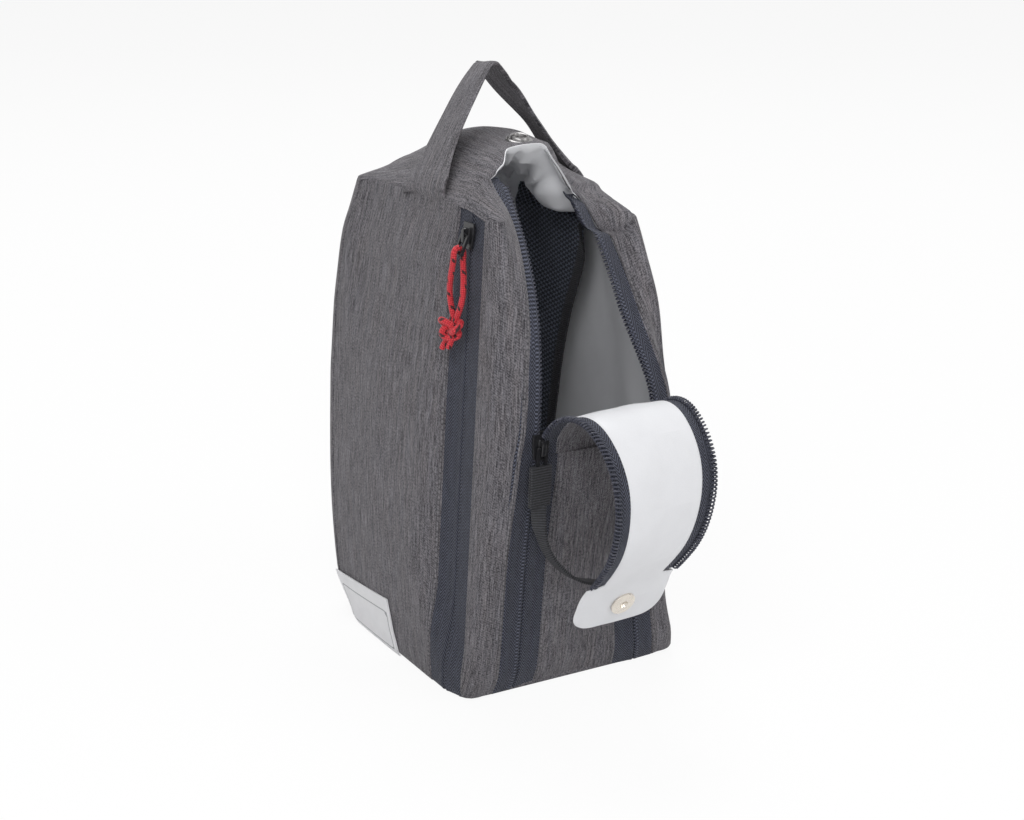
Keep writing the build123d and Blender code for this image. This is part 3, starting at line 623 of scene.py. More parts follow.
def melange(name, dark, light, stitch=False):
    """Woven grey fabric with slubs that run along it"""
    p = Paint(name)
    u, v = p.uv()
    slub = p.grain(u * 2300, v * 120, 2.0, 0.6)
    band = p.grain(u * 700 + 40, v * 36)
    fleck = p.grain(u * 1300, v * 900 + 7, 2.0, 0.7)
    weave = p.wave(v + u * 0.6, 0.0013) * p.wave(u, 0.0011)
    tone = slub * 0.38 + band * 0.2 + fleck * 0.42 + weave * 0.04
    tint = p.grain(u * 260 + 90, v * 30)
    between = [0.58 * a + 0.42 * b for a, b in zip(dark, light)]
    base = p.ramp(tone, [(0.41, dark), (0.5, between), (0.6, light)])
    warm = p.mix(tint, (0.96, 0.98, 1.04), (1.06, 1.0, 0.98))
    colour = p.mix(1.0, base, warm, "MULTIPLY")
    height = tone * 0.8 + weave * 0.12
    if stitch:
        edge, run = p.uv("edge")
        line = abs(edge - 0.0021) < 0.0004
        on = ((run % 0.0029) < 0.0018) * line
        # painted shade: the groove beside the stitching is sunk and darkened
        dip = (abs(edge - 0.0021) < 0.0009) * (1 - on)
        colour = p.mix(on * 0.35, colour, scaled(light, 1.1))
        colour = p.mix(dip * 0.3, colour, dark)
        height = height + on * 0.5 - dip * 0.5
    return p.finish(colour=colour, roughness=0.86, normal=p.bump(height, 0.00034, 0.85),
                    sheen=0.12, sheen_roughness=0.5, specular=0.25)


def satin_lining(name, colour):
    """Thin smooth lining with a soft gloss and faint creases, whose hollows are painted darker as shade"""
    p = Paint(name)
    u, v = p.uv()
    soft = p.grain(u * 42, v * 30, 3.0, 0.55)
    thread = p.grain(u * 1500, v * 1500, 2.0, 0.6)
    # painted shade: the colour darkens where the crease bump is low
    face = p.ramp(soft * 0.7 + thread * 0.3, [(0.3, scaled(colour, 0.9)), (0.7, colour)])
    return p.finish(colour=face, roughness=0.5, normal=p.bump(soft * 0.8 + thread * 0.08, 0.0012, 0.35),
                    sheen=0.12, specular=0.35)


def tape_weave(name, colour, light, toothed=False):
    """Zip tape woven in a herringbone, with worn patches, its raised threads painted lighter as highlight and
    its low threads painted darker as shade, and beside it rows at the coil's pitch, where the coil's
    stitching lies, painted as highlight and shade
    """
    p = Paint(name)
    u, v = p.uv()
    zigzag = abs(((u / 0.0052) % 1.0) - 0.5) * 0.0052
    slant = p.wave(v + zigzag * 1.6, 0.0019)
    fine = p.wave(u, 0.0008) * p.wave(v, 0.0008)
    worn = p.grain(u * 300, v * 120, 3.0, 0.6)
    # tone mixes real wear with painted highlight on raised threads and painted shade on low ones
    tone = slant * 0.36 + fine * 0.2 + worn * 0.4 + 0.22
    if toothed:
        edge, run = p.uv("edge")
        # painted highlight and shade: light and dark rows at the coil's pitch beside the coil
        beside = (edge < 0.0036) * (edge > 0.0003)
        row = p.wave(run, 0.002) * p.sine(edge * (2 * pi / 0.0036) + 0.8)
        tone = tone * (1 - beside * 0.6) + beside * (row * 0.5 + 0.34)
    # painted shade at the dark end, painted highlight of the raised threads at the light end
    face = p.ramp(tone, [(0.2, scaled(colour, 0.4)), (0.5, colour), (0.8, light)])
    return p.finish(colour=face, roughness=0.72, normal=p.bump(tone, 0.0005, 0.8), sheen=0.05, specular=0.3)


def ribbed_webbing(name, colour, light):
    """Webbing with fine ribs across it, the tops of the ribs painted lighter as highlight and the dips
    between them painted darker as shade
    """
    p = Paint(name)
    u, v = p.uv()
    rib = p.wave(v, 0.00135)
    grain = p.grain(u * 900, v * 300, 2.0, 0.6)
    # painted highlight on the rib tops, painted shade in the dips between them
    face = p.ramp(rib * 0.28 + grain * 0.5 + 0.25, [(0.1, scaled(colour, 0.5)), (0.9, light)])
    return p.finish(colour=face, roughness=0.7, normal=p.bump(rib * 0.6 + grain * 0.3, 0.0004, 0.9),
                    sheen=0.1, specular=0.3)


def braided_cord(name, colour, fleck):
    """Braided cord with dark tracer threads, the tops of its strands painted lighter as highlight and the
    grooves between them painted darker as shade
    """
    p = Paint(name)
    u, v = p.uv()
    strand = p.wave(v + u, 0.0021) * p.wave(v - u, 0.0021)
    fibre = p.grain(u * 2600, v * 900, 2.0, 0.6)
    # painted highlight on the strand tops, painted shade in the grooves between them
    braid_highlight = [min(1.0, c * 1.5 + 0.05) for c in colour]
    base = p.ramp(strand * 0.3 + fibre * 0.4 + 0.3,
                  [(0.1, scaled(colour, 0.45)), (0.55, colour), (0.95, braid_highlight)])
    cell = ((v + u * 0.55) % 0.0063) < 0.0017
    side = ((u + v * 0.2) % 0.0047) < 0.0019
    face = p.mix(cell * side * 0.92, base, fleck)
    return p.finish(colour=face, roughness=0.62, normal=p.bump(strand * 0.5 + fibre * 0.3, 0.0004, 0.9),
                    sheen=0.15, specular=0.35)


def net(name, colour, light):
    """Open knitted mesh, its threads painted light bluish as highlight and its holes painted near black as
    shade
    """
    p = Paint(name)
    u, v = p.uv()
    cells = 0.0052
    one = abs(p.wave(u * 0.5 + v * 0.866, cells))
    two = abs(p.wave(u * 0.5 - v * 0.866, cells))
    three = abs(p.wave(u, cells))
    hole = (one ** 0.8) * (two ** 0.8) * (three ** 0.5)
    broad = p.grain(u * 60, v * 40, 3.0, 0.6)
    # painted highlight on the threads, painted shade in the holes
    face = p.ramp(hole * 0.9 + broad * 0.2, [(0.15, light), (0.5, scaled(colour, 1.5)), (1.0, colour)])
    return p.finish(colour=face, roughness=0.6, normal=p.bump(1 - hole, 0.0005, 0.7), specular=0.3)


def enamel(name, colour):
    """Glossy coated metal with fine patches of wear"""
    p = Paint(name)
    where = p.place()
    wear = p.noise(where, 900.0, 3.0, 0.6)
    haze = p.noise(where, 180.0, 2.0, 0.5)
    face = p.ramp(wear, [(0.35, colour), (0.75, [c * 1.5 + 0.01 for c in colour])])
    return p.finish(colour=face, roughness=haze * 0.16 + 0.22, normal=p.bump(wear, 0.00008, 0.4),
                    coat=0.35, coat_roughness=0.12, specular=0.28)


def nickel(name, colour, dull):
    """Plated metal with fine scratches"""
    p = Paint(name)
    where = p.place()
    scratch = p.noise(where, 1400.0, 4.0, 0.7)
    cloud = p.noise(where, 220.0, 2.0, 0.5)
    face = p.ramp(cloud * 0.6 + scratch * 0.4, [(0.3, dull), (0.7, colour)])
    return p.finish(colour=face, roughness=cloud * 0.12 + 0.22, metallic=0.85,
                    normal=p.bump(scratch, 0.00003, 0.3))


def moulded(name, colour):
    """Moulded coil plastic"""
    p = Paint(name)
    grain = p.noise(p.place(), 1200.0, 2.0, 0.5)
    face = p.ramp(grain, [(0.3, scaled(colour, 0.7)), (0.75, scaled(colour, 1.35))])
    return p.finish(colour=face, roughness=grain * 0.1 + 0.42, normal=p.bump(grain, 0.00008, 0.4))


def patch_weave(name, ground, line):
    """Plain woven patch with a thin frame line near its edge"""
    p = Paint(name)
    u, v = p.uv()
    edge = p.uv("edge")[0]
    weft = p.wave(u, 0.0007) * p.wave(v, 0.0007)
    soil = p.grain(u * 130, v * 130, 3.0, 0.6)
    face = p.ramp(weft * 0.1 + soil * 0.6 + 0.2, [(0.2, scaled(ground, 0.88)), (0.7, ground)])
    face = p.mix((abs(edge - 0.0032) < 0.00035) * 0.75, face, line)
    return p.finish(colour=face, roughness=0.7, normal=p.bump(weft, 0.00015, 0.6), specular=0.3)


def length(name, words, default):
    return FloatProperty(name=name, description=words, default=default, unit="LENGTH")


class BagSizes(bpy.types.PropertyGroup):
    """Sizes that change how the bag is dressed"""
    fabric: length("Fabric", "Thickness of the outer fabric", 0.0014)
    lining: length("Lining", "Thickness of the lining", 0.0005)
    lining_gap: length("Lining gap", "From the outer face to the lining", 0.0032)
    ripple: length("Ripple", "Height of the slow waves in the fabric", 0.0007)
    coil_pitch: length("Coil pitch", "From tooth to tooth", 0.002)
    coil_wire: length("Coil wire", "Radius of the coil's wire", 0.0005)
    cord: length("Cord", "Diameter of the pull cord", 0.003)


def tint(name, words, default):
    return FloatVectorProperty(name=name, description=words, default=default, subtype="COLOR", min=0, max=1)


class BagColours(bpy.types.PropertyGroup):
    """Colours of the bag's finishes"""
    fabric_dark: tint("Fabric dark", "Dark threads of the outer fabric", (0.036, 0.035, 0.039))
    fabric_light: tint("Fabric light", "Light threads of the outer fabric", (0.236, 0.228, 0.242))
    lining: tint("Lining", "Lining and the inside of the flap", (0.800, 0.805, 0.830))
    tape: tint("Zip tape", "Ground of the zip tapes", (0.029, 0.031, 0.047))
    # painted highlight: colour of the tapes' raised threads where light falls on them
    tape_light: tint("Zip tape light", "Raised threads of the zip tapes", (0.115, 0.125, 0.168))
    black: tint("Black", "Webbing, mesh and enamel", (0.012, 0.012, 0.014))
    # painted highlight: colour of the raised threads of black webbing where light falls on them
    black_highlight: tint("Black light", "Raised threads of black pieces", (0.060, 0.061, 0.070))
    cord: tint("Cord", "Pull cord", (0.62, 0.026, 0.040))
    snap: tint("Snap", "Plated snap", (0.80, 0.74, 0.66))
    label: tint("Patch", "Sewn patch", (0.92, 0.92, 0.94))


def size_of(name):
    """One of the bag's sizes, in millimetres"""
    return getattr(bpy.context.scene.bag_sizes, name) * 1000


def tone(name):
    """One of the bag's colours"""
    return tuple(getattr(bpy.context.scene.bag_colours, name))


def material(name, make, *settings):
    """A finish, made once"""
    return bpy.data.materials.get(name) or make(name, *settings)


def grey(stitch=False):
    name = "stitched_melange" if stitch else "melange"
    return material(name, melange, tone("fabric_dark"), tone("fabric_light"), stitch)


def silver():
    return material("silver_lining", satin_lining, tone("lining"))


def navy_tape(toothed=False):
    name = "toothed_tape" if toothed else "navy_tape"
    return material(name, tape_weave, tone("tape"), tone("tape_light"), toothed)


def coil_plastic():
    return material("coil_plastic", moulded, scaled(tone("tape"), 1.25))


def black_webbing():
    return material("black_webbing", ribbed_webbing, tone("black"), tone("black_highlight"))


def black_enamel():
    return material("black_enamel", enamel, tone("black"))


class Step:
    """What the bag's operators share"""
    bl_options = {"REGISTER", "UNDO"}


def backdrop(name, colour):
    """Floor that the camera sees almost white, with a soft shadow kept"""
    p = Paint(name)
    grain = p.noise(p.place(), 30.0, 2.0, 0.5)
    face = p.ramp(grain, [(0.2, scaled(colour, 0.995)), (0.8, colour)])
    matte = p.node("ShaderNodeBsdfDiffuse", {}, {"Color": face, "Roughness": 0.5})
    glow = p.node("ShaderNodeEmission", {}, {"Color": (1.0, 1.0, 1.0), "Strength": 1.0})
    share = p.math("MAXIMUM", p.ray("Camera"), p.ray("Glossy")) * 0.9
    blend = p.node("ShaderNodeMixShader", {}, {0: share, 1: matte, 2: glow})
    p.node("ShaderNodeOutputMaterial", {}, {"Surface": blend})
    return p.material


def placed(scene, name, data):
    """A new object of the scene that holds some data"""
    holder = bpy.data.objects.new(name, data)
    scene.collection.objects.link(holder)
    return holder


class BAG_OT_stage(Step, bpy.types.Operator):
    """Lays the floor, lights the bag and sets the camera"""
    bl_idname = "bag.stage"
    bl_label = "Floor, lights and camera"

    def execute(self, context):
        scene = context.scene
        scene.view_settings.view_transform = "Standard"
        alone()
        bpy.ops.mesh.primitive_grid_add(x_subdivisions=8, y_subdivisions=8, size=14, location=(0, 0, -0.0004))
        floor = context.object
        floor.name = "floor"
        floor.data.materials.append(material("pale_floor", backdrop, (0.93, 0.93, 0.93)))

        sky = Paint("studio", "worlds")
        scene.world = sky.material
        seen = sky.node("ShaderNodeMath", {"operation": "ADD", "use_clamp": True},
                        {0: sky.ray("Camera"), 1: sky.ray("Glossy")})
        strength = sky.math("MULTIPLY_ADD", seen, 0.68, 0.32)
        white = sky.node("ShaderNodeBackground", {}, {"Color": (1, 1, 1), "Strength": strength})
        sky.node("ShaderNodeOutputWorld", {}, {"Surface": white})

        middle = Vector((0, 0, 0.14))
        lamps = (("key", (-1.7, -1.2, 2.1), 1.2, 21.0), ("fill", (1.7, -1.9, 1.4), 1.4, 14.0),
                 ("front", (-0.7, -1.5, 1.2), 0.5, 8.0), ("top", (0.4, 1.0, 2.4), 1.2, 29.0))
        for name, place, size, power in lamps:
            lamp = bpy.data.lights.new(name, "AREA")
            lamp.size = size
            lamp.energy = power
            holder = placed(scene, name, lamp)
            holder.location = place
            holder.rotation_euler = (middle - Vector(place)).to_track_quat("-Z", "Y").to_euler()

        camera = bpy.data.cameras.new("camera")
        camera.lens = 57.4
        camera.sensor_width = 36.0
        holder = placed(scene, "camera", camera)
        right = Vector((0.8547, -0.5190, 0.0))
        down = Vector((-0.1597, -0.2630, -0.9515))
        ahead = Vector((0.4938, 0.8130, -0.3079))
        turn = Matrix((right, -down, -ahead)).transposed().to_4x4()
        holder.matrix_world = Matrix.Translation((-0.4375, -0.7285, 0.4054)) @ turn
        scene.camera = holder
        return {"FINISHED"}


def strip_shares():
    """Shares of a strip's row: up to the front corner, and beyond it"""
    ahead = spread(22.0, 8, both=False)
    aside = [CORNER_SHARE + (1 - CORNER_SHARE) * s for s in
             (0.12, 0.25, 0.4, 0.55, 0.68, 0.78, 0.86, 0.92, 0.965, 1.0)]
    return [CORNER_SHARE * s for s in ahead], aside


def strip_grids(side, drop=0.0, sew=True):
    """Front strip and the shoulder above it, as two grids that share a row"""
    ahead, aside = strip_shares()
    us = ahead + aside
    vs = spread(SHOULDER_START, 64)
    low = form(us, vs, lambda u, v: strip_point(u, v * SHOULDER_START, side))
    corner = len(ahead) - 1

    def lip(s):
        return lip_point(SHOULDER_START + s * (ARC_TOP - SHOULDER_START), side)

    def seam(s):
        start = low[-1][corner]
        goal = seam_point(-72.0 + 30.0 * s)
        return start.lerp(goal, eased(s * 3))

    def far(u):
        a, b = lip(1.0), seam(1.0)
        p = a.lerp(b, u)
        p.z += (crown_z(p.x, p.y) - p.z) * 4 * u * (1 - u)
        return p

    def shoulder(u, s):
        near = strip_point(u * CORNER_SHARE, SHOULDER_START, side)
        flat = ((1 - s) * ((1 - u) * lip(0) + u * seam(0)) + s * ((1 - u) * lip(1) + u * seam(1)))
        p = (1 - s) * near + s * far(u) + (1 - u) * lip(s) + u * seam(s) - flat
        return p + Vector((0.45, -0.35, 0.82)) * (2.4 * sin(pi * u) * sin(pi * s))
    shares = [a / CORNER_SHARE for a in ahead]
    rows = [0.0, 0.06, 0.14, 0.24, 0.36, 0.48, 0.6, 0.7, 0.79, 0.86, 0.92, 0.96, 0.985, 1.0]
    high = form(shares, rows, shoulder)
    low = panel(low, sew, drop, ripple=size_of("ripple"), seed=side * 4.0,
                weight=lambda j, i: eased((us[i] - CORNER_SHARE) / 0.12))
    high = panel(high, False, drop)
    if sew:
        across = [lengths(row) for row in high]
        up = column_lengths(high)

        def turned(j, i, p):
            from_lip = curl(across[j][i])
            from_seam = curl(across[j][-1] - across[j][i]) * eased(rows[j] / 0.25)
            from_top = curl(up[i][-1] - up[i][j])
            return -max(from_lip, from_seam, from_top)
        high = lift(high, turned)
        high[0] = [p.copy() for p in low[-1][:len(shares)]]
        high[1] = [a.lerp(b, 0.5) for a, b in zip(high[0], high[2])]
    return mirrored(low, side), mirrored(high, side)


def side_grid(side, sew=True, drop=0.0):
    """Side wall from the front strip or pocket zip to the back seam"""
    front = TAPE_Y if side > 0 else POCKET_REAR_Y

    def place(u, v):
        z_top = smooth(SEAM, front + u * (62 - front), 1)
        z = v * z_top
        rear = smooth(PROFILE, z, 4) - BACK_RADIUS
        y = front + u * (rear - front)
        swell = 1.3 * sin(pi * u) * sin(pi * min(1.0, v * 1.02))
        return Vector((half_width(min(z, 252.0)) + swell, y, z))
    points = form(spread(110.0, 26), spread(252.0, 64), place)
    return mirrored(panel(points, sew, drop, ripple=size_of("ripple"), seed=11 + side), side)


def back_grid(sew=True, drop=0.0):
    """Back wall, round both back corners"""
    def place(u, v):
        x_share = 2 * u - 1
        z_top = 252.5 + 10.5 * (1 - min(abs(x_share) / 0.86, 1.0) ** 2.4)
        z = v * z_top
        h = half_width(min(z, SEAM_LOW))
        back = smooth(PROFILE, z, 4)
        r = BACK_RADIUS
        arc = 0.16            # share of each half that goes round its corner
        bulge = (2.0 + 2.5 * sin(pi * min(1.0, v))) * (1 - abs(x_share) ** 2)
        if abs(x_share) > 1 - arc:
            a = pi / 2 * (1 - (abs(x_share) - (1 - arc)) / arc)
            x, y = h - r + r * cos(a), back - r + r * sin(a)
        else:
            x, y = (h - r) * abs(x_share) / (1 - arc), back
        return Vector((-x if x_share > 0 else x, y + bulge, z))
    us = ([0.0, 0.004, 0.01, 0.018, 0.03, 0.05, 0.065] + steps(30, 0.08, 0.84)
          + [0.935, 0.95, 0.97, 0.982, 0.99, 0.996, 1.0])
    points = form(us, spread(258.0, 64), place)
    return panel(points, sew, drop, ripple=size_of("ripple") * 1.3, size=46.0, seed=21)


def front_grid(sew=True, drop=0.0):
    """Lower front panel, up to where the flap folds"""
    half = ZIP_X - FABRIC_EDGE

    def place(u, v):
        z = v * FRONT_TOP
        x = (2 * u - 1) * half
        y = smooth(PROFILE, z, 1) - 1.2 * (1 - (2 * u - 1) ** 2) * sin(pi * min(v * 1.3, 1.0) * 0.5)
        return Vector((x, y, z))
    points = form(spread(47.0, 16), spread(FRONT_TOP, 36, both=False), place)
    return panel(points, sew, drop, ripple=0.4, edges="lrb", seed=31)


def crown_grid(sew=True, drop=0.0, ruffle=0.0):
    """Crown from the bridge over the mouth to the back seam"""
    def place(u, v):
        x = -SEAM_HALF + u * 2 * SEAM_HALF
        start = crown_front(x)
        end = CROWN_REAR - 2.0 * (abs(x) / SEAM_HALF) ** 2
        y = start + v * (end - start)
        z = crown_z(x, y)
        if abs(x) > SEAM_HALF - 0.05:
            x = (1 if x > 0 else -1) * seam_point(y).x
        past = max(y - (CROWN_REAR - BACK_RADIUS), 0.0)
        x *= 1 - (BACK_RADIUS - sqrt(max(BACK_RADIUS ** 2 - past ** 2, 0.0))) / SEAM_HALF
        return Vector((x, y, z))
    us = [0.0, 0.004, 0.009, 0.016, 0.026] + steps(44, 0.04, 0.92) + [0.974, 0.984, 0.991, 0.996, 1.0]
    points = panel(form(us, spread(110.0, 34), place), False, drop)
    if ruffle:
        def crumple(j, i, p):
            fold = noise.noise(Vector((p.x * 0.6, p.y, p.z)) / 15.0 + Vector((5, 1, 2)))
            crease = abs(noise.noise(Vector((p.x, p.y * 0.7, p.z)) / 22.0 + Vector((9, 3, 8))))
            front = eased((p.y + 30) / 14)
            hang = ((2.4 + 4.6 * eased((p.x - 4) / 24)) * eased((p.y + 24) / 16) * eased((34 - p.y) / 30)
                    * eased((49 - abs(p.x)) / (12 if p.x < 0 else 6)))
            pleat = abs(sin((p.x * 0.9 - p.y * 0.75) / 5.2 + 3.0 * fold)) * eased((p.x + 30) / 26)
            return -ruffle * (0.2 + fold + 1.6 * crease + 2.0 * pleat + hang) * front
        points = lift(points, crumple)
    return panel(points, sew, 0.0, ripple=size_of("ripple") * 1.5, size=38.0, seed=41)


class BAG_OT_walls(Step, bpy.types.Operator):
    """Sews the outer fabric: strips, sides, back and lower front"""
    bl_idname = "bag.walls"
    bl_label = "Outer fabric"

    def execute(self, context):
        thick = size_of("fabric")
        for name, side in SIDES:
            low, high = strip_grids(side)
            flip = side < 0
            parts = [cloth("strip_low", low, flip), cloth("strip_high", high, flip)]
            strip = joined("front_strip_cloth_" + name, parts, merge=0.00004)
            hung(strip, thick, grey(True), ["front_strip_" + name])
            declare_sheet(low)
            points = side_grid(side)
            wall = cloth("side_cloth_" + name, points, flip)
            hung(wall, thick, grey(True), ["side_panel_" + name])
            declare_sheet(points)
        for name, points, stitched in (("back", back_grid(), False), ("front", front_grid(), True)):
            wall = cloth(name + "_cloth", points)
            hung(wall, thick, grey(stitched), [name + "_panel"])
            declare_sheet(points)
        return {"FINISHED"}


class BAG_OT_crown(Step, bpy.types.Operator):
    """Sews the crown over the top"""
    bl_idname = "bag.crown"
    bl_label = "Crown"

    def execute(self, context):
        points = crown_grid()
        crown = hung(cloth("crown_cloth", points), size_of("fabric"), grey(), ["crown_panel"])
        declare_sheet(points)
        return {"FINISHED"}


class BAG_OT_base(Step, bpy.types.Operator):
    """Makes the base that the bag stands on"""
    bl_idname = "bag.base"
    bl_label = "Base"

    def execute(self, context):
        right = [strip_point(u, 3.0) for u in (0.0, 0.3, CORNER_SHARE, 0.8, 1.0)]
        rear = smooth(PROFILE, 3.0, 4) - BACK_RADIUS
        for k in range(7):
            a = pi / 12 * k
            right.append(Vector((48 + BACK_RADIUS * cos(a), rear + BACK_RADIUS * sin(a), 3)))
        ring = right + sided(reversed(right), -1)
        middle = Vector((0, 5, 0))
        inset = 2.6               # from the outer fabric to the base's edge
        alone()
        bpy.ops.mesh.primitive_circle_add(vertices=len(ring), radius=1, fill_type="NGON")
        base = context.object
        base.name = "base_cloth"
        for vertex, p in zip(base.data.vertices, ring):
            inward = (middle - Vector((p.x, p.y, 0))).normalized() * inset
            vertex.co = Vector((p.x + inward.x, p.y + inward.y, 0.05)) * 0.001
        modify(base, "SOLIDIFY", thickness=0.0029, offset=0.0)
        low = min(v.co.z for v in base.data.vertices)
        for vertex in base.data.vertices:
            vertex.co.z -= low
        rounded(base, 0.8, 3)
        edited(base, (bpy.ops.mesh.normals_make_consistent, {"inside": False}),
               (bpy.ops.uv.cube_project,
                {"cube_size": 1.0, "scale_to_bounds": False, "correct_aspect": False}))
        base.data.uv_layers[0].name = "weave"
        finished(base, grey(), "bag", ["base_panel"])
        return {"FINISHED"}


def tucked(points, gap):
    """Keeps a lining inside the outer fabric at the upper seams"""
    def keep(p):
        top = crown_z(p.x, p.y) - gap - 1.0 if p.z > 256 else 252.5 - gap
        z = min(p.z, top) if p.z > 240 else p.z
        half = half_width(min(z, SEAM_LOW)) - gap - 0.6 - 1.5 * eased((z - 236) / 14)
        rear = smooth(PROFILE, z, 4) + 4.5 * (1 - min(abs(p.x) / 50, 1.0) ** 2) - gap
        ahead = smooth(PROFILE, z, 2) + gap + 1.0 if abs(p.x) > 34 and z > 236 else p.y
        return Vector((min(max(p.x, -half), half), max(min(p.y, rear), ahead), z))
    return [[keep(p) for p in row] for row in points]


class BAG_OT_linings(Step, bpy.types.Operator):
    """Lines the inside"""
    bl_idname = "bag.linings"
    bl_label = "Linings"

    def execute(self, context):
        gap = size_of("lining_gap")

        def line_with(piece, node):
            hung(piece, size_of("lining"), silver(), [node])
        for name, side in SIDES:
            low, high = (tucked(g, gap) for g in strip_grids(side, drop=gap, sew=False))
            flip = side > 0
            parts = [cloth("lining_low", low, flip), cloth("lining_high", high, flip)]
            away = 7.0 if side < 0 else gap
            wall = tucked(side_grid(side, sew=False, drop=away), gap)
            if side < 0:
                hem = [[Vector((row[0].x - 0.6, TAPE_Y - 0.5, row[0].z)), row[0]] for row in wall]
                parts.append(cloth("lining_hem", hem))
            parts.append(cloth("lining_wall", wall, flip))
            line_with(joined("lining_cloth_" + name, parts), "lining_" + name)
        rear = tucked(back_grid(sew=False, drop=gap), gap)
        line_with(cloth("lining_cloth_back", rear, True), "lining_back")
        line_with(cloth("lining_cloth_front", front_grid(sew=False, drop=gap), True), "lining_front")

        points = crown_grid(sew=False, drop=2.2, ruffle=2.4)
        edge = crown_grid(sew=False)
        for j, reach in ((0, 1.0), (1, 0.75), (2, 0.45), (3, 0.2)):
            for i in range(len(points[0])):
                x = abs(points[j][i].x)
                hem = reach * eased((28 - x) / 4)
                goal = edge[0][i] + Vector((0, -0.5, 0.1))
                points[j][i] = points[j][i].lerp(goal, hem)
                points[j][i].y += 1.6 * eased((x - 28) / 6) * reach
        for row in points:
            for p in row:
                p.x *= 1 - 0.035 * eased((abs(p.x) - 38) / 10)
        line_with(cloth("lining_cloth_top", points, True), "lining_top")

        def bottom(u, v):
            wave = 1.2 * rolling(u * 3, v * 3, 0.5) * sin(pi * u) * sin(pi * v)
            return Vector(((u - 0.5) * (114 - 8 * eased((v - 0.86) / 0.14)), -64.5 + v * 138.5, 5.9 + wave))
        points = form(spread(112, 14), spread(138, 16), bottom)
        line_with(cloth("lining_cloth_bottom", points), "lining_bottom")
        return {"FINISHED"}


def coil_line(centre, across, out, total, wide, high):
    """Flattened helix about a centre line given by functions of length"""
    per_turn = 8
    count = int(total / size_of("coil_pitch") * per_turn)
    line = []
    for k in range(count + 1):
        s = total * k / count
        a = 2 * pi * k / per_turn
        line.append(centre(s) + across(s) * (wide * cos(a)) + out(s) * (high * sin(a)))
    return line


class BAG_OT_front_zips(Step, bpy.types.Operator):
    """Makes the tapes and coils of the two front zips"""
    bl_idname = "bag.front_zips"
    bl_label = "Front zips"

    def execute(self, context):
        wire = size_of("coil_wire")
        us = [0.0, 0.02, 0.05, 0.09, 0.13, 0.18, 0.25, 0.4, 0.6, 0.75, 0.85, 0.93, 1.0]
        front_us = [1 - u for u in reversed(us)]
        coil_start = 146.0
        coil_run = ARC_TOP - 8 - coil_start

        def raised(from_ridge, from_dip):
            """Ridge and dip that the coil's stitching makes in a tape"""
            return 0.45 + 0.35 * exp(-(from_ridge / 0.9) ** 2) - 0.55 * exp(-(from_dip / 0.35) ** 2)

        def front(u, v):
            across = -12.6 + u * 12.5
            return zip_at(0.4 + v * FRONT_TOP, across, raised(across + 1.15, across + 0.1))

        def beside(s):
            return zip_at(coil_start + s, 2, 0) - zip_at(coil_start + s, 1, 0)

        def ahead(s):
            return zip_at(coil_start + s, 0, 1) - zip_at(coil_start + s, 0, 0)
        open_coil = coil_line(lambda s: zip_at(coil_start + s, 1.5, -0.75), beside, ahead, coil_run,
                              wide=1.75, high=0.95)
        shut_coil = coil_line(lambda s: zip_at(6.0 + s, 0.0, -1.3), lambda s: Vector((1, 0, 0)),
                              lambda s: Vector((0, -1, 0)), 128.0, wide=2.3, high=0.8)
        for name, side in SIDES:
            def tape(u, v):
                t = 0.4 + v * (ARC_TOP - 0.4)
                inner = 0.08 + 0.85 * eased((t - 136) / 10)
                outer = lip_across(t, side) + 1.6
                across = inner + u * (outer - inner)
                sink = 3.5 * eased((t - 274) / 9) + 1.6 * eased((across - outer + 1.9) / 1.9)
                return zip_at(t, across, raised(across - inner - 1.1, across - inner) - sink)
            for node, points, toothed in (("zip_tape", form(us, steps(110), tape), True),
                                          ("front_tape", form(front_us, steps(56), front), False)):
                sheet = cloth(node + "_cloth_" + name, mirrored(points, side), side < 0)
                hung(sheet, 0.9, navy_tape(toothed), [node + "_" + name])
            for piece, line, node in (("coil_helix_", open_coil, "zip_coil_"),
                                      ("closed_coil_", shut_coil, "zip_chain_")):
                coil = tube(piece + name, sided(line, side), wire, 5)
                finished(coil, coil_plastic(), "bag", [node + name])
        return {"FINISHED"}


class BAG_OT_pocket_zip(Step, bpy.types.Operator):
    """Makes the zip of the side pocket"""
    bl_idname = "bag.pocket_zip"
    bl_label = "Pocket zip"

    def execute(self, context):
        def place(u, v):
            z = 0.5 + v * 252.6
            y = -62.4 + u * 25.8
            d = abs(y - POCKET_Y)
            ridge = 0.4 * exp(-((d - 1.5) / 1.0) ** 2) - 0.6 * exp(-(d / 0.4) ** 2)
            gape = 0.9 * eased((z - 236) / 12)
            return Vector((-(half_width(min(z, SEAM_LOW)) - 0.85 + ridge - gape), y, z))
        off = (0.01, 0.02, 0.04, 0.06, 0.085, 0.12, 0.18, 0.27, 0.36, 0.43, 0.5)
        us = sorted([0.5 - o for o in off] + [0.5] + [0.5 + o for o in off])
        hung(cloth("pocket_zip_cloth", form(us, steps(90), place), True), 1.0, navy_tape(),
             ["pocket_tape_front", "pocket_tape_rear", "pocket_coil_front", "pocket_coil_rear"])
        return {"FINISHED"}


# Flap: side view points of its hinges, and what each stretch bends between
PITCH = 35.9
HINGES = [Vector((-90.0, 149.0)), Vector((-121.844, 165.577)), Vector((-148.523, 141.555)),
          Vector((-144.770, 105.852)), Vector((-122.177, 77.952))]
TAB_END = Vector((-108.23, 48.04))
CONTROL = [Vector((-89.4, 125.0))] + HINGES + [TAB_END]
TAB_START = 4 * PITCH
BREAKS = [-12.0, 0.5 * PITCH, 1.5 * PITCH, 2.5 * PITCH, 3.5 * PITCH, TAB_START + 16.5, TAB_START + 33.0]


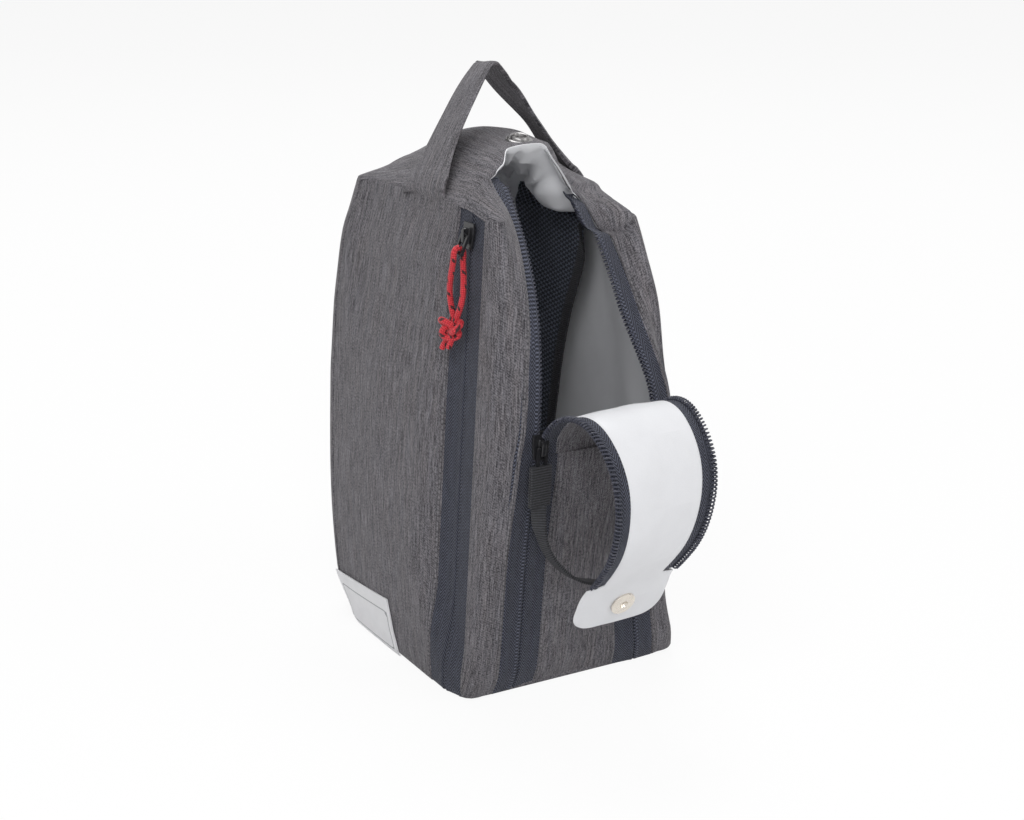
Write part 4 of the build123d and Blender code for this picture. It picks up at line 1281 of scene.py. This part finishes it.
def flap_line(s):
    """Point and direction of the flap's middle line in side view, at length s from the fold"""
    if s >= BREAKS[5]:
        way = (TAB_END - HINGES[4]).normalized()
        return HINGES[4] + way * (s - TAB_START), way
    k = 0
    while s > BREAKS[k + 1]:
        k += 1
    w = (s - BREAKS[k]) / (BREAKS[k + 1] - BREAKS[k])
    a = (CONTROL[k] + CONTROL[k + 1]) / 2
    b = CONTROL[k + 1]
    c = (CONTROL[k + 1] + CONTROL[k + 2]) / 2
    point = a * (1 - w) ** 2 + b * (2 * w * (1 - w)) + c * w ** 2
    way = ((b - a) * (1 - w) + (c - b) * w).normalized()
    return point, way


def flap_stand(s):
    """How far the flap stands out from its middle line"""
    return 2.4 * eased((s - 2) / 16) * (1 - eased((s - 128) / 26))


def flap_at(s, x, out):
    """Point of the flap: out is towards its lining side"""
    point, way = flap_line(s)
    face = Vector((way.y, -way.x))
    camber = -0.9 * (x / 26.0) ** 2 * eased(s / 20)
    p = point + face * (flap_stand(s) + out + camber)
    return Vector((x, p.x, p.y))


def flap_fabric_half(s):
    """Half width of the flap's fabric, and of the tab beyond it"""
    if s <= TAB_START:
        close = 23.7 + 1.3 * eased((s + 12) / 20)
        return close - 8.2 * max(s, 0.0) / TAB_START
    d = s - TAB_START
    half = 16.8 + 8.4 * eased((d + 0.5) / 3.0) + 1.3 * eased(d / 14.0)
    r = 11.0                  # of the tab's corners
    past = d - (33.0 - r)
    if past > 0:
        half = half - r + sqrt(max(0.0, r * r - past ** 2))
    return half


def flap_sheet(name, k, out, extra, thick, side, ripple, paint, nodes=()):
    """One stretch of a layer of the flap"""
    s0, s1 = BREAKS[k], BREAKS[k + 1]
    ss = [s0 + (s1 - s0) * sin(pi / 2 * i / 22) for i in range(23)] if k == 5 else steps(22, s0, s1 - s0)
    us = [0.0, 0.015, 0.04, 0.08] + steps(16, 0.12, 0.76) + [0.92, 0.96, 0.985, 1.0]

    def place(u, s):
        half = flap_fabric_half(s) + extra
        x = (2 * u - 1) * half
        tuck = curl(half - abs(x), 1.6, 0.6)
        wave = ripple * rolling(x / 13.0, s / 22.0, 4.0) * eased((half - abs(x)) / 6)
        return flap_at(s, x, out + side * (wave - tuck))
    hang_flap(hung(cloth(name, form(us, ss, place), side > 0), thick, paint, nodes, body=None), k)


def hang_flap(piece, k):
    """Bends a stretch between the bodies on each side of its hinge"""
    if k == 5:
        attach(piece, "snap_tab")
        return
    start, end = flap_at(BREAKS[k], 0, 0), flap_at(BREAKS[k + 1], 0, 0)
    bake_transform(piece)


def flap_zips(k):
    """Tapes and open coils on both edges of one stretch of the flap"""
    s0 = BREAKS[k]
    run = min(BREAKS[k + 1], TAB_START - 1.5) - s0
    us = [0.0, 0.05, 0.12, 0.2, 0.3, 0.5, 0.75, 1.0]

    def inner(s):
        return flap_fabric_half(min(s, TAB_START)) - 1.5

    def outer(s):
        return flap_fabric_half(min(s, TAB_START)) + 8.4

    def out(d):
        return (flap_at(s0 + d, 0, 1) - flap_at(s0 + d, 0, 0)).normalized()
    tapes = []
    coils = []
    for side in (1, -1):
        def tape(u, s):
            return flap_at(s, side * (outer(s) + (inner(s) - outer(s)) * u), 0.15)

        def centre(d):
            return flap_at(s0 + d, side * (outer(s0 + d) - 0.7), 1.2)
        tapes.append(cloth("tape", form(us, steps(24, s0, run), tape), side < 0))
        line = coil_line(centre, lambda d: Vector((side, 0, 0)), out, run, wide=1.6, high=1.05)
        coils.append(tube("coil", line, size_of("coil_wire"), 5))
    nodes = ["flap_zip_%d_left" % k, "flap_zip_%d_right" % k] if k else []
    tape_piece = joined("flap_tape_%d" % k, tapes)
    hang_flap(hung(tape_piece, 0.7, navy_tape(), nodes, body=None, offset=0.0), k)
    coil_piece = joined("flap_coil_%d" % k, coils)
    hang_flap(finished(coil_piece, coil_plastic(), None), k)


class BAG_OT_flap(Step, bpy.types.Operator):
    """Makes the flap that folds down: fabric, lining, tapes and open coils"""
    bl_idname = "bag.flap"
    bl_label = "Front flap"

    def execute(self, context):
        for k in range(6):
            nodes = ["flap_panel_%d" % k] if 1 <= k <= 4 else (["snap_tab"] if k == 5 else [])
            flap_sheet("flap_fabric_%d" % k, k, -0.9, 0.5, 1.0, -1, 0.3, grey(), nodes)
            flap_sheet("flap_lining_%d" % k, k, 0.95, 0.9, 0.7, 1, 0.35, silver())
            if k < 5:
                flap_zips(k)
        return {"FINISHED"}


def turned_disc(name, outline, centre, axis, paint, body, replaced=()):
    """A round piece spun from its outline (radius, height) about an axis, in millimetres"""
    turn = Vector((0, 0, 1)).rotation_difference(axis)
    rows = [[centre + turn @ Vector((r * cos(a), r * sin(a), h)) for a in round_angles(40)]
            for r, h in outline]
    return finished(closed(cloth(name, rows)), paint, body, replaced)


class BAG_OT_snap(Step, bpy.types.Operator):
    """Makes both halves of the snap"""
    bl_idname = "bag.snap"
    bl_label = "Snap"

    def execute(self, context):
        plate = material("nickel_snap", nickel, tone("snap"), scaled(tone("snap"), 0.8))
        along = TAB_START + 19.0
        centre = flap_at(along, 0, 0.6)
        axis = (flap_at(along, 0, 1.6) - centre).normalized()
        outline = [(0.0, 0.3), (1.5, 0.3), (1.9, 0.9), (2.3, 1.75), (3.1, 1.95), (4.8, 1.75), (6.2, 1.7),
                   (6.75, 1.45), (6.9, 1.0), (6.8, 0.4), (0.0, 0.3)]
        turned_disc("snap_stud_disc", outline, centre, axis, plate, "snap_tab", ["snap_stud"])
        cap = [(0.0, 1.1), (2.5, 1.05), (4.4, 0.8), (5.3, 0.3), (5.5, 0.0), (0.0, 0.0)]
        turned_disc("snap_cap", cap, flap_at(along, 0, -1.6), -axis, plate, "snap_tab")
        top = Vector((0, -15.0, crown_z(0, -15.0) - 0.2))
        socket = [(0.0, 0.4), (2.9, 0.5), (3.1, 1.7), (3.5, 2.5), (4.2, 2.7), (4.8, 2.3), (5.1, 1.5),
                  (5.3, 0.95), (6.5, 0.9), (6.95, 0.55), (7.0, 0.1), (0.0, 0.0)]
        tilted = Vector((0, -sin(radians(11)), cos(radians(11))))
        steel = material("dark_steel", nickel, (0.30, 0.29, 0.29), (0.14, 0.14, 0.14))
        turned_disc("snap_ring", socket, top, tilted, steel, "bag", ["snap_socket"])
        # painted shade: a black disc fills the socket's hollow where shade falls
        well = [(0.0, 0.9), (1.2, 0.9), (2.5, 0.75), (2.85, 0.6), (2.8, 0.3), (0.0, 0.3)]
        turned_disc("snap_well", well, top, tilted, black_enamel(), "bag")
        return {"FINISHED"}


def soften(node, width, paint):
    """Rounds the edges of a hard node and paints it"""
    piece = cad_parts[node]
    weld = piece.modifiers.new("weld", "WELD")
    weld.merge_threshold = 0.00001
    bevel = piece.modifiers.new("bevel", "BEVEL")
    bevel.width = width
    bevel.segments = 2
    bevel.limit_method = "ANGLE"
    bevel.angle_limit = radians(35)
    for place in piece.material_slots:
        place.material = paint
    if not piece.material_slots:
        piece.data.materials.append(paint)


class BAG_OT_sliders(Step, bpy.types.Operator):
    """Finishes the sliders and their rings"""
    bl_idname = "bag.sliders"
    bl_label = "Sliders"

    def execute(self, context):
        for node in ("slider_left", "slider_right", "pocket_slider"):
            soften(node, 0.0004, black_enamel())
        for node in ("pull_ring_left", "pull_ring_right", "pocket_pull"):
            soften(node, 0.0002, black_enamel())
        soften("base_stiffener", 0.0003, coil_plastic())
        return {"FINISHED"}


class BAG_OT_pulls(Step, bpy.types.Operator):
    """Makes the webbing tabs and the strap that links the main sliders"""
    bl_idname = "bag.pulls"
    bl_label = "Webbing pulls"

    def execute(self, context):
        low, high = (Vector(c) * 1000 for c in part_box("pull_tab_right"))
        mid = (low + high) / 2
        lean = 0.0839             # slope of the tabs to the middle
        us = steps(10)
        top = Vector((mid.x + lean * (mid.z - low.z) * 0.5, mid.y, low.z + 1.5))
        route = [top,
                 Vector((top.x - 0.6, top.y, top.z - 14)),
                 Vector((top.x * 0.82, top.y - 1.0, top.z - 30)),
                 Vector((top.x * 0.45, top.y - 2.0, top.z - 44)),
                 Vector((0.0, top.y - 2.5, top.z - 50))]
        line = spline(route, 12)
        rows = []
        for i, p in enumerate(line):
            way = way_at(line, i)
            twist = radians(18 + 62 * eased(i / 18))
            flat = Vector((cos(twist), sin(twist), 0))
            flat = (flat - way * flat.dot(way)).normalized()
            rows.append([p + flat * 3.7 * (2 * u - 1) for u in us])

        def tab(u, v):
            z = high.z + 1.2 - v * (high.z - low.z + 1.2)
            x = mid.x + (2 * u - 1) * 5.8 + lean * (mid.z - z) * 0.5
            return Vector((x, mid.y - 1.5 - 0.25 * sin(pi * v), z))

        def tab_back(u, v):
            return tab(u, v) + Vector((0, 2.7 + 0.4 * sin(pi * v), 0))

        def webbed(piece, thick, offset, name, node):
            rounded(thicken(piece, thick, offset), 0.35)
            finished(piece, black_webbing(), "pull_" + name, [node + name])
        for name, side in SIDES:
            front = cloth("tab_front", mirrored(form(us, steps(20), tab), side), side > 0)
            rear = cloth("tab_rear", mirrored(form(us, steps(20), tab_back), side), side < 0)
            webbed(joined("webbing_tab_" + name, [front, rear]), 1.3, -1.0, name, "pull_tab_")
            strap = cloth("webbing_strap_" + name, mirrored(rows, side), side < 0)
            webbed(strap, 1.5, 0.0, name, "pull_strap_")
        return {"FINISHED"}


def cord_frame():
    """The wall frame that the pull cord hangs in: its start and three directions"""
    tilt = radians(3.516)
    wall_out = Vector((-cos(tilt), 0, sin(tilt)))
    up = Vector((sin(tilt), 0, cos(tilt)))
    pin = Vector((-51.9168, POCKET_Y, 241.678))
    ring_up = Vector((sin(radians(24)), 0, cos(radians(24))))
    return pin - ring_up * 9.0, Vector((0, 1, 0)), up, wall_out


# Route of the cord in that frame, from the knot through the ring and back
CORD_ROUTE = ((-1.8, -31.45, 0.4), (-4.6, -25.5, 0.0), (-5.0, -18.5, -0.8), (-2.4, -11.0, -2.0),
              (0.2, -4.5, -2.8), (0.2, 2.8, -2.8), (-0.2, 2.8, 2.8), (-0.2, -4.5, 2.9),
              (2.6, -11.5, 2.4), (5.3, -18.5, 1.2), (4.4, -25.5, 0.8), (1.8, -31.45, 0.4))


class BAG_OT_cord(Step, bpy.types.Operator):
    """Ties the red cord to the pocket slider's ring"""
    bl_idname = "bag.cord"
    bl_label = "Pull cord"

    def execute(self, context):
        start, along, up, out = cord_frame()
        red = material("red_cord", braided_cord, tone("cord"), (0.012, 0.010, 0.012))
        route = [(start + along * a + up * b + out * d) * 0.001 for a, b, d in CORD_ROUTE]
        curve = bpy.data.curves.new("cord_route", "CURVE")
        curve.dimensions = "3D"
        line = curve.splines.new("NURBS")
        line.points.add(len(route) - 1)
        for point, place in zip(line.points, route):
            point.co = (*place, 1.0)
        line.order_u = 3
        line.use_endpoint_u = True
        line.resolution_u = 10
        holder = placed(context.scene, "cord_route", curve)
        context.view_layer.update()
        sampled = bpy.data.meshes.new_from_object(holder)
        path = [v.co.copy() * 1000 for v in sampled.vertices]
        bpy.data.objects.remove(holder)
        bpy.data.meshes.remove(sampled)
        radius = size_of("cord") / 2

        def braid(s, a):
            return radius * (1 + 0.05 * sin(2 * pi * s / 2.1 + 2 * a) * sin(2 * pi * s / 2.1 - 2 * a))
        total = lengths(path)
        fine = [at_length(path, total, s) for s in steps(150, 0.0, total[-1])]
        cord = tube("cord_loop", fine, braid, 14)
        finished(cord, red, "pocket_pull", ["pull_cord"])

        centre = start + up * -37.0 + out * 2.6
        knot_points = []
        for k in range(64):
            a = 2 * pi * k / 64
            x = (sin(a) + 2 * sin(2 * a)) * 2.2
            y = (cos(a) - 2 * cos(2 * a)) * 1.7
            z = -sin(3 * a) * 2.2
            knot_points.append(centre + along * x + up * y + out * (z + x * 0.35))
        knot_points.append(knot_points[0].copy())
        knot = tube("knot_turns", knot_points, radius * 1.1, 12, closed_ends=False)
        parts = [knot]
        for shift, lean, reach in ((1.6, 24, 13.0), (-1.2, 8, 10.5)):
            way = (up * -cos(radians(lean)) + along * sin(radians(lean))).normalized()
            first = centre + along * shift
            points = [first + way * reach * k / 8 + out * (0.5 * sin(k)) for k in range(9)]
            parts.append(tube("tail", points, radius, 12))
        for shift in (1.8, -1.8):
            top = start + along * shift + up * -31.5 + out * 0.5
            points = [top.lerp(centre + along * shift * 0.4, k / 4) for k in range(5)]
            parts.append(tube("stem", points, radius, 12))
        whole = joined("cord_knot_turns", parts)
        finished(whole, red, "pocket_pull", ["cord_knot"])
        size_of("cord") * 0.001
        return {"FINISHED"}


# Front edge of the mesh: height and y
NET_EDGE = ((24.0, 47.0), (90.0, 36.0), (140.0, 23.0), (179.0, 8.5), (207.0, -7.5), (231.0, -19.0),
            (246.0, -24.5))
NET_LOW, NET_TALL = 24, 222


class BAG_OT_mesh_pocket(Step, bpy.types.Operator):
    """Makes the mesh pocket inside, with its bound edge"""
    bl_idname = "bag.mesh_pocket"
    bl_label = "Mesh pocket"

    def execute(self, context):
        def front_y(z):
            return smooth(NET_EDGE, z, 1)

        def depth(z, u):
            ends = eased((z - 24) / 14) * eased((246 - z) / 12)
            return 3.6 + 8.6 * ends * eased((1 - u) / 0.12)

        def net_place(u, v):
            z = NET_LOW + NET_TALL * v
            y = front_y(z) + u * (61 - front_y(z))
            sag = 0.8 * rolling(y / 20, z / 26, 2.0) * sin(pi * u)
            return Vector((half_width(z) - depth(z, u) + sag, y, z))

        def band(u, v):
            z = NET_LOW + NET_TALL * v
            y = front_y(z) - 6.4 + 7.2 * u
            return Vector((half_width(z) - depth(z, 0) - 0.5 - 0.3 * sin(pi * u), y, z))
        points = form(steps(24), steps(40), net_place)
        # painted light: the bluish colour is highlight on the threads, the near black is shade in the holes
        black = material("black_net", net, (0.009, 0.010, 0.014), (0.17, 0.19, 0.24))
        mesh = hung(cloth("mesh_cloth", points, True), 0.6, black, ["mesh_pocket"])
        declare_sheet(points)
        points = form([0, 0.06, 0.15, 0.3, 0.5, 0.7, 0.85, 0.94, 1.0], steps(40), band)
        binding = rounded(thicken(cloth("binding_cloth", points, True), 1.2, 1.0), 0.3)
        finished(binding, black_webbing(), "bag", ["mesh_binding"])
        return {"FINISHED"}


# Right half of the handle's route, then its half width at shares of that half
HANDLE = ((46.2, -4.0, 251.4), (48.9, -3.6, 255.6), (48.8, -2.8, 258.8), (46.2, -0.6, 263.6),
          (39.2, 3.0, 272.6), (28.4, 7.2, 287.5), (13.6, 13.6, 305.0), (3.8, 17.6, 314.4),
          (0.0, 18.6, 316.0))
HANDLE_HALF = ((0.0, 20.6), (0.1, 19.6), (0.22, 16.4), (0.38, 14.4), (0.6, 13.0), (0.85, 11.2), (1.0, 9.0))


class BAG_OT_handle(Step, bpy.types.Operator):
    """Makes the grab handle, from seam to seam over the crown"""
    bl_idname = "bag.handle"
    bl_label = "Handle"

    def execute(self, context):
        half = [Vector(p) for p in HANDLE]
        route = [Vector((p.x, p.y + eased(p.x / 14) * (12.0 + 3.5 * eased((p.x - 26) / 16)),
                         p.z - 3.5 * eased((p.x - 42) / 6))) for p in half]
        route += sided(reversed(half[:-1]), -1)
        line = spline(route, 10)
        sums = lengths(line)
        us = [0.0, 0.02, 0.05, 0.1, 0.16] + steps(8, 0.2, 0.6) + [0.84, 0.9, 0.95, 0.98, 1.0]
        rows = []
        for s in steps(96, 0.0, sums[-1]):
            p = at_length(line, sums, s)
            share = min(s, sums[-1] - s) / (sums[-1] / 2)
            wide = smooth(HANDLE_HALF, share, 1) * (1 - 0.3 * eased((p.x - 14) / 20))
            ahead = at_length(line, sums, s + 1) - at_length(line, sums, s - 1)
            tilt = radians(7 * eased(share * 2))
            flat = Vector((0, cos(tilt), -sin(tilt)))
            flat = (flat - ahead * flat.dot(ahead) / ahead.length_squared).normalized()
            face = flat.cross(ahead).normalized()
            row = []
            for u in us:
                x = (2 * u - 1) * wide
                groove = -0.25 * exp(-((abs(x) - wide + 2.4) / 0.5) ** 2) * eased(share * 4)
                crown = 0.5 * (1 - (2 * u - 1) ** 2)
                wave = 0.35 * rolling(x / 12, s / 24, 6.0)
                row.append(p + flat * x + face * (groove + crown + wave - curl(wide - abs(x), 1.5, 0.9)))
            rows.append(row)
        strap = thicken(cloth("handle_cloth", rows), 2.2)
        paint = material("handle_melange", melange, tone("fabric_dark"), tone("fabric_light"), True)
        finished(strap, paint, None,
                 ["handle_strap", "handle_foot_left", "handle_foot_right"], settled=True)
        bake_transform(strap)
        return {"FINISHED"}


class BAG_OT_patch(Step, bpy.types.Operator):
    """Sews the plain patch low on the side"""
    bl_idname = "bag.patch"
    bl_label = "Plain patch"

    def execute(self, context):
        def place(u, v):
            y = (-3.0 + 60.0 * u) * (1 - v) + (9.0 + 65.0 * u) * v
            z = 0.6 + (30.0 - 6.0 * u) * v
            puff = 0.9 + 0.25 * sin(pi * u) * sin(pi * v)
            ends = 0.9 * (1 - sin(pi * min(max(u, 0.02), 0.98)) ** 0.2)
            return Vector((-(half_width(z) + 0.9 + puff - ends), y, z))
        points = form(spread(60, 16), spread(26, 10), place)
        patch = cloth("plain_patch", points, True)
        tall = 0.0265             # height of the patch on its weave map
        for a, b in zip(patch.data.uv_layers["edge"].data, patch.data.uv_layers["weave"].data):
            a.uv = (min(a.uv[0], b.uv[1], tall - b.uv[1]), b.uv[1])
        pale = material("patch_weave", patch_weave, tone("label"), (0.25, 0.26, 0.28))
        hung(patch, 0.8, pale, ["label_patch"])
        return {"FINISHED"}


class BAG_PT_panel(bpy.types.Panel):
    """Sizes, colours and steps of the bag"""
    bl_idname = "BAG_PT_panel"
    bl_label = "Toiletry bag"
    bl_space_type = "VIEW_3D"
    bl_region_type = "UI"
    bl_category = "Bag"

    def draw(self, context):
        for group in (context.scene.bag_sizes, context.scene.bag_colours):
            box = self.layout.box()
            for key in group.bl_rna.properties.keys():
                if key not in ("rna_type", "name"):
                    box.prop(group, key)
        for step in STEPS:
            self.layout.operator(step.bl_idname)


STEPS = (BAG_OT_stage, BAG_OT_cord, BAG_OT_walls, BAG_OT_crown, BAG_OT_base, BAG_OT_linings,
         BAG_OT_front_zips, BAG_OT_pocket_zip, BAG_OT_flap, BAG_OT_snap, BAG_OT_sliders, BAG_OT_pulls,
         BAG_OT_mesh_pocket, BAG_OT_handle, BAG_OT_patch)
CLASSES = (BagSizes, BagColours) + STEPS + (BAG_PT_panel,)


def register():
    for item in CLASSES:
        bpy.utils.register_class(item)
    bpy.types.Scene.bag_sizes = PointerProperty(type=BagSizes)
    bpy.types.Scene.bag_colours = PointerProperty(type=BagColours)


def unregister():
    del bpy.types.Scene.bag_colours
    del bpy.types.Scene.bag_sizes
    for item in reversed(CLASSES):
        bpy.utils.unregister_class(item)


def main():
    register()
    for step in STEPS:
        group, name = step.bl_idname.split(".")
        getattr(getattr(bpy.ops, group), name)()


if __name__ == "__main__":
    main()
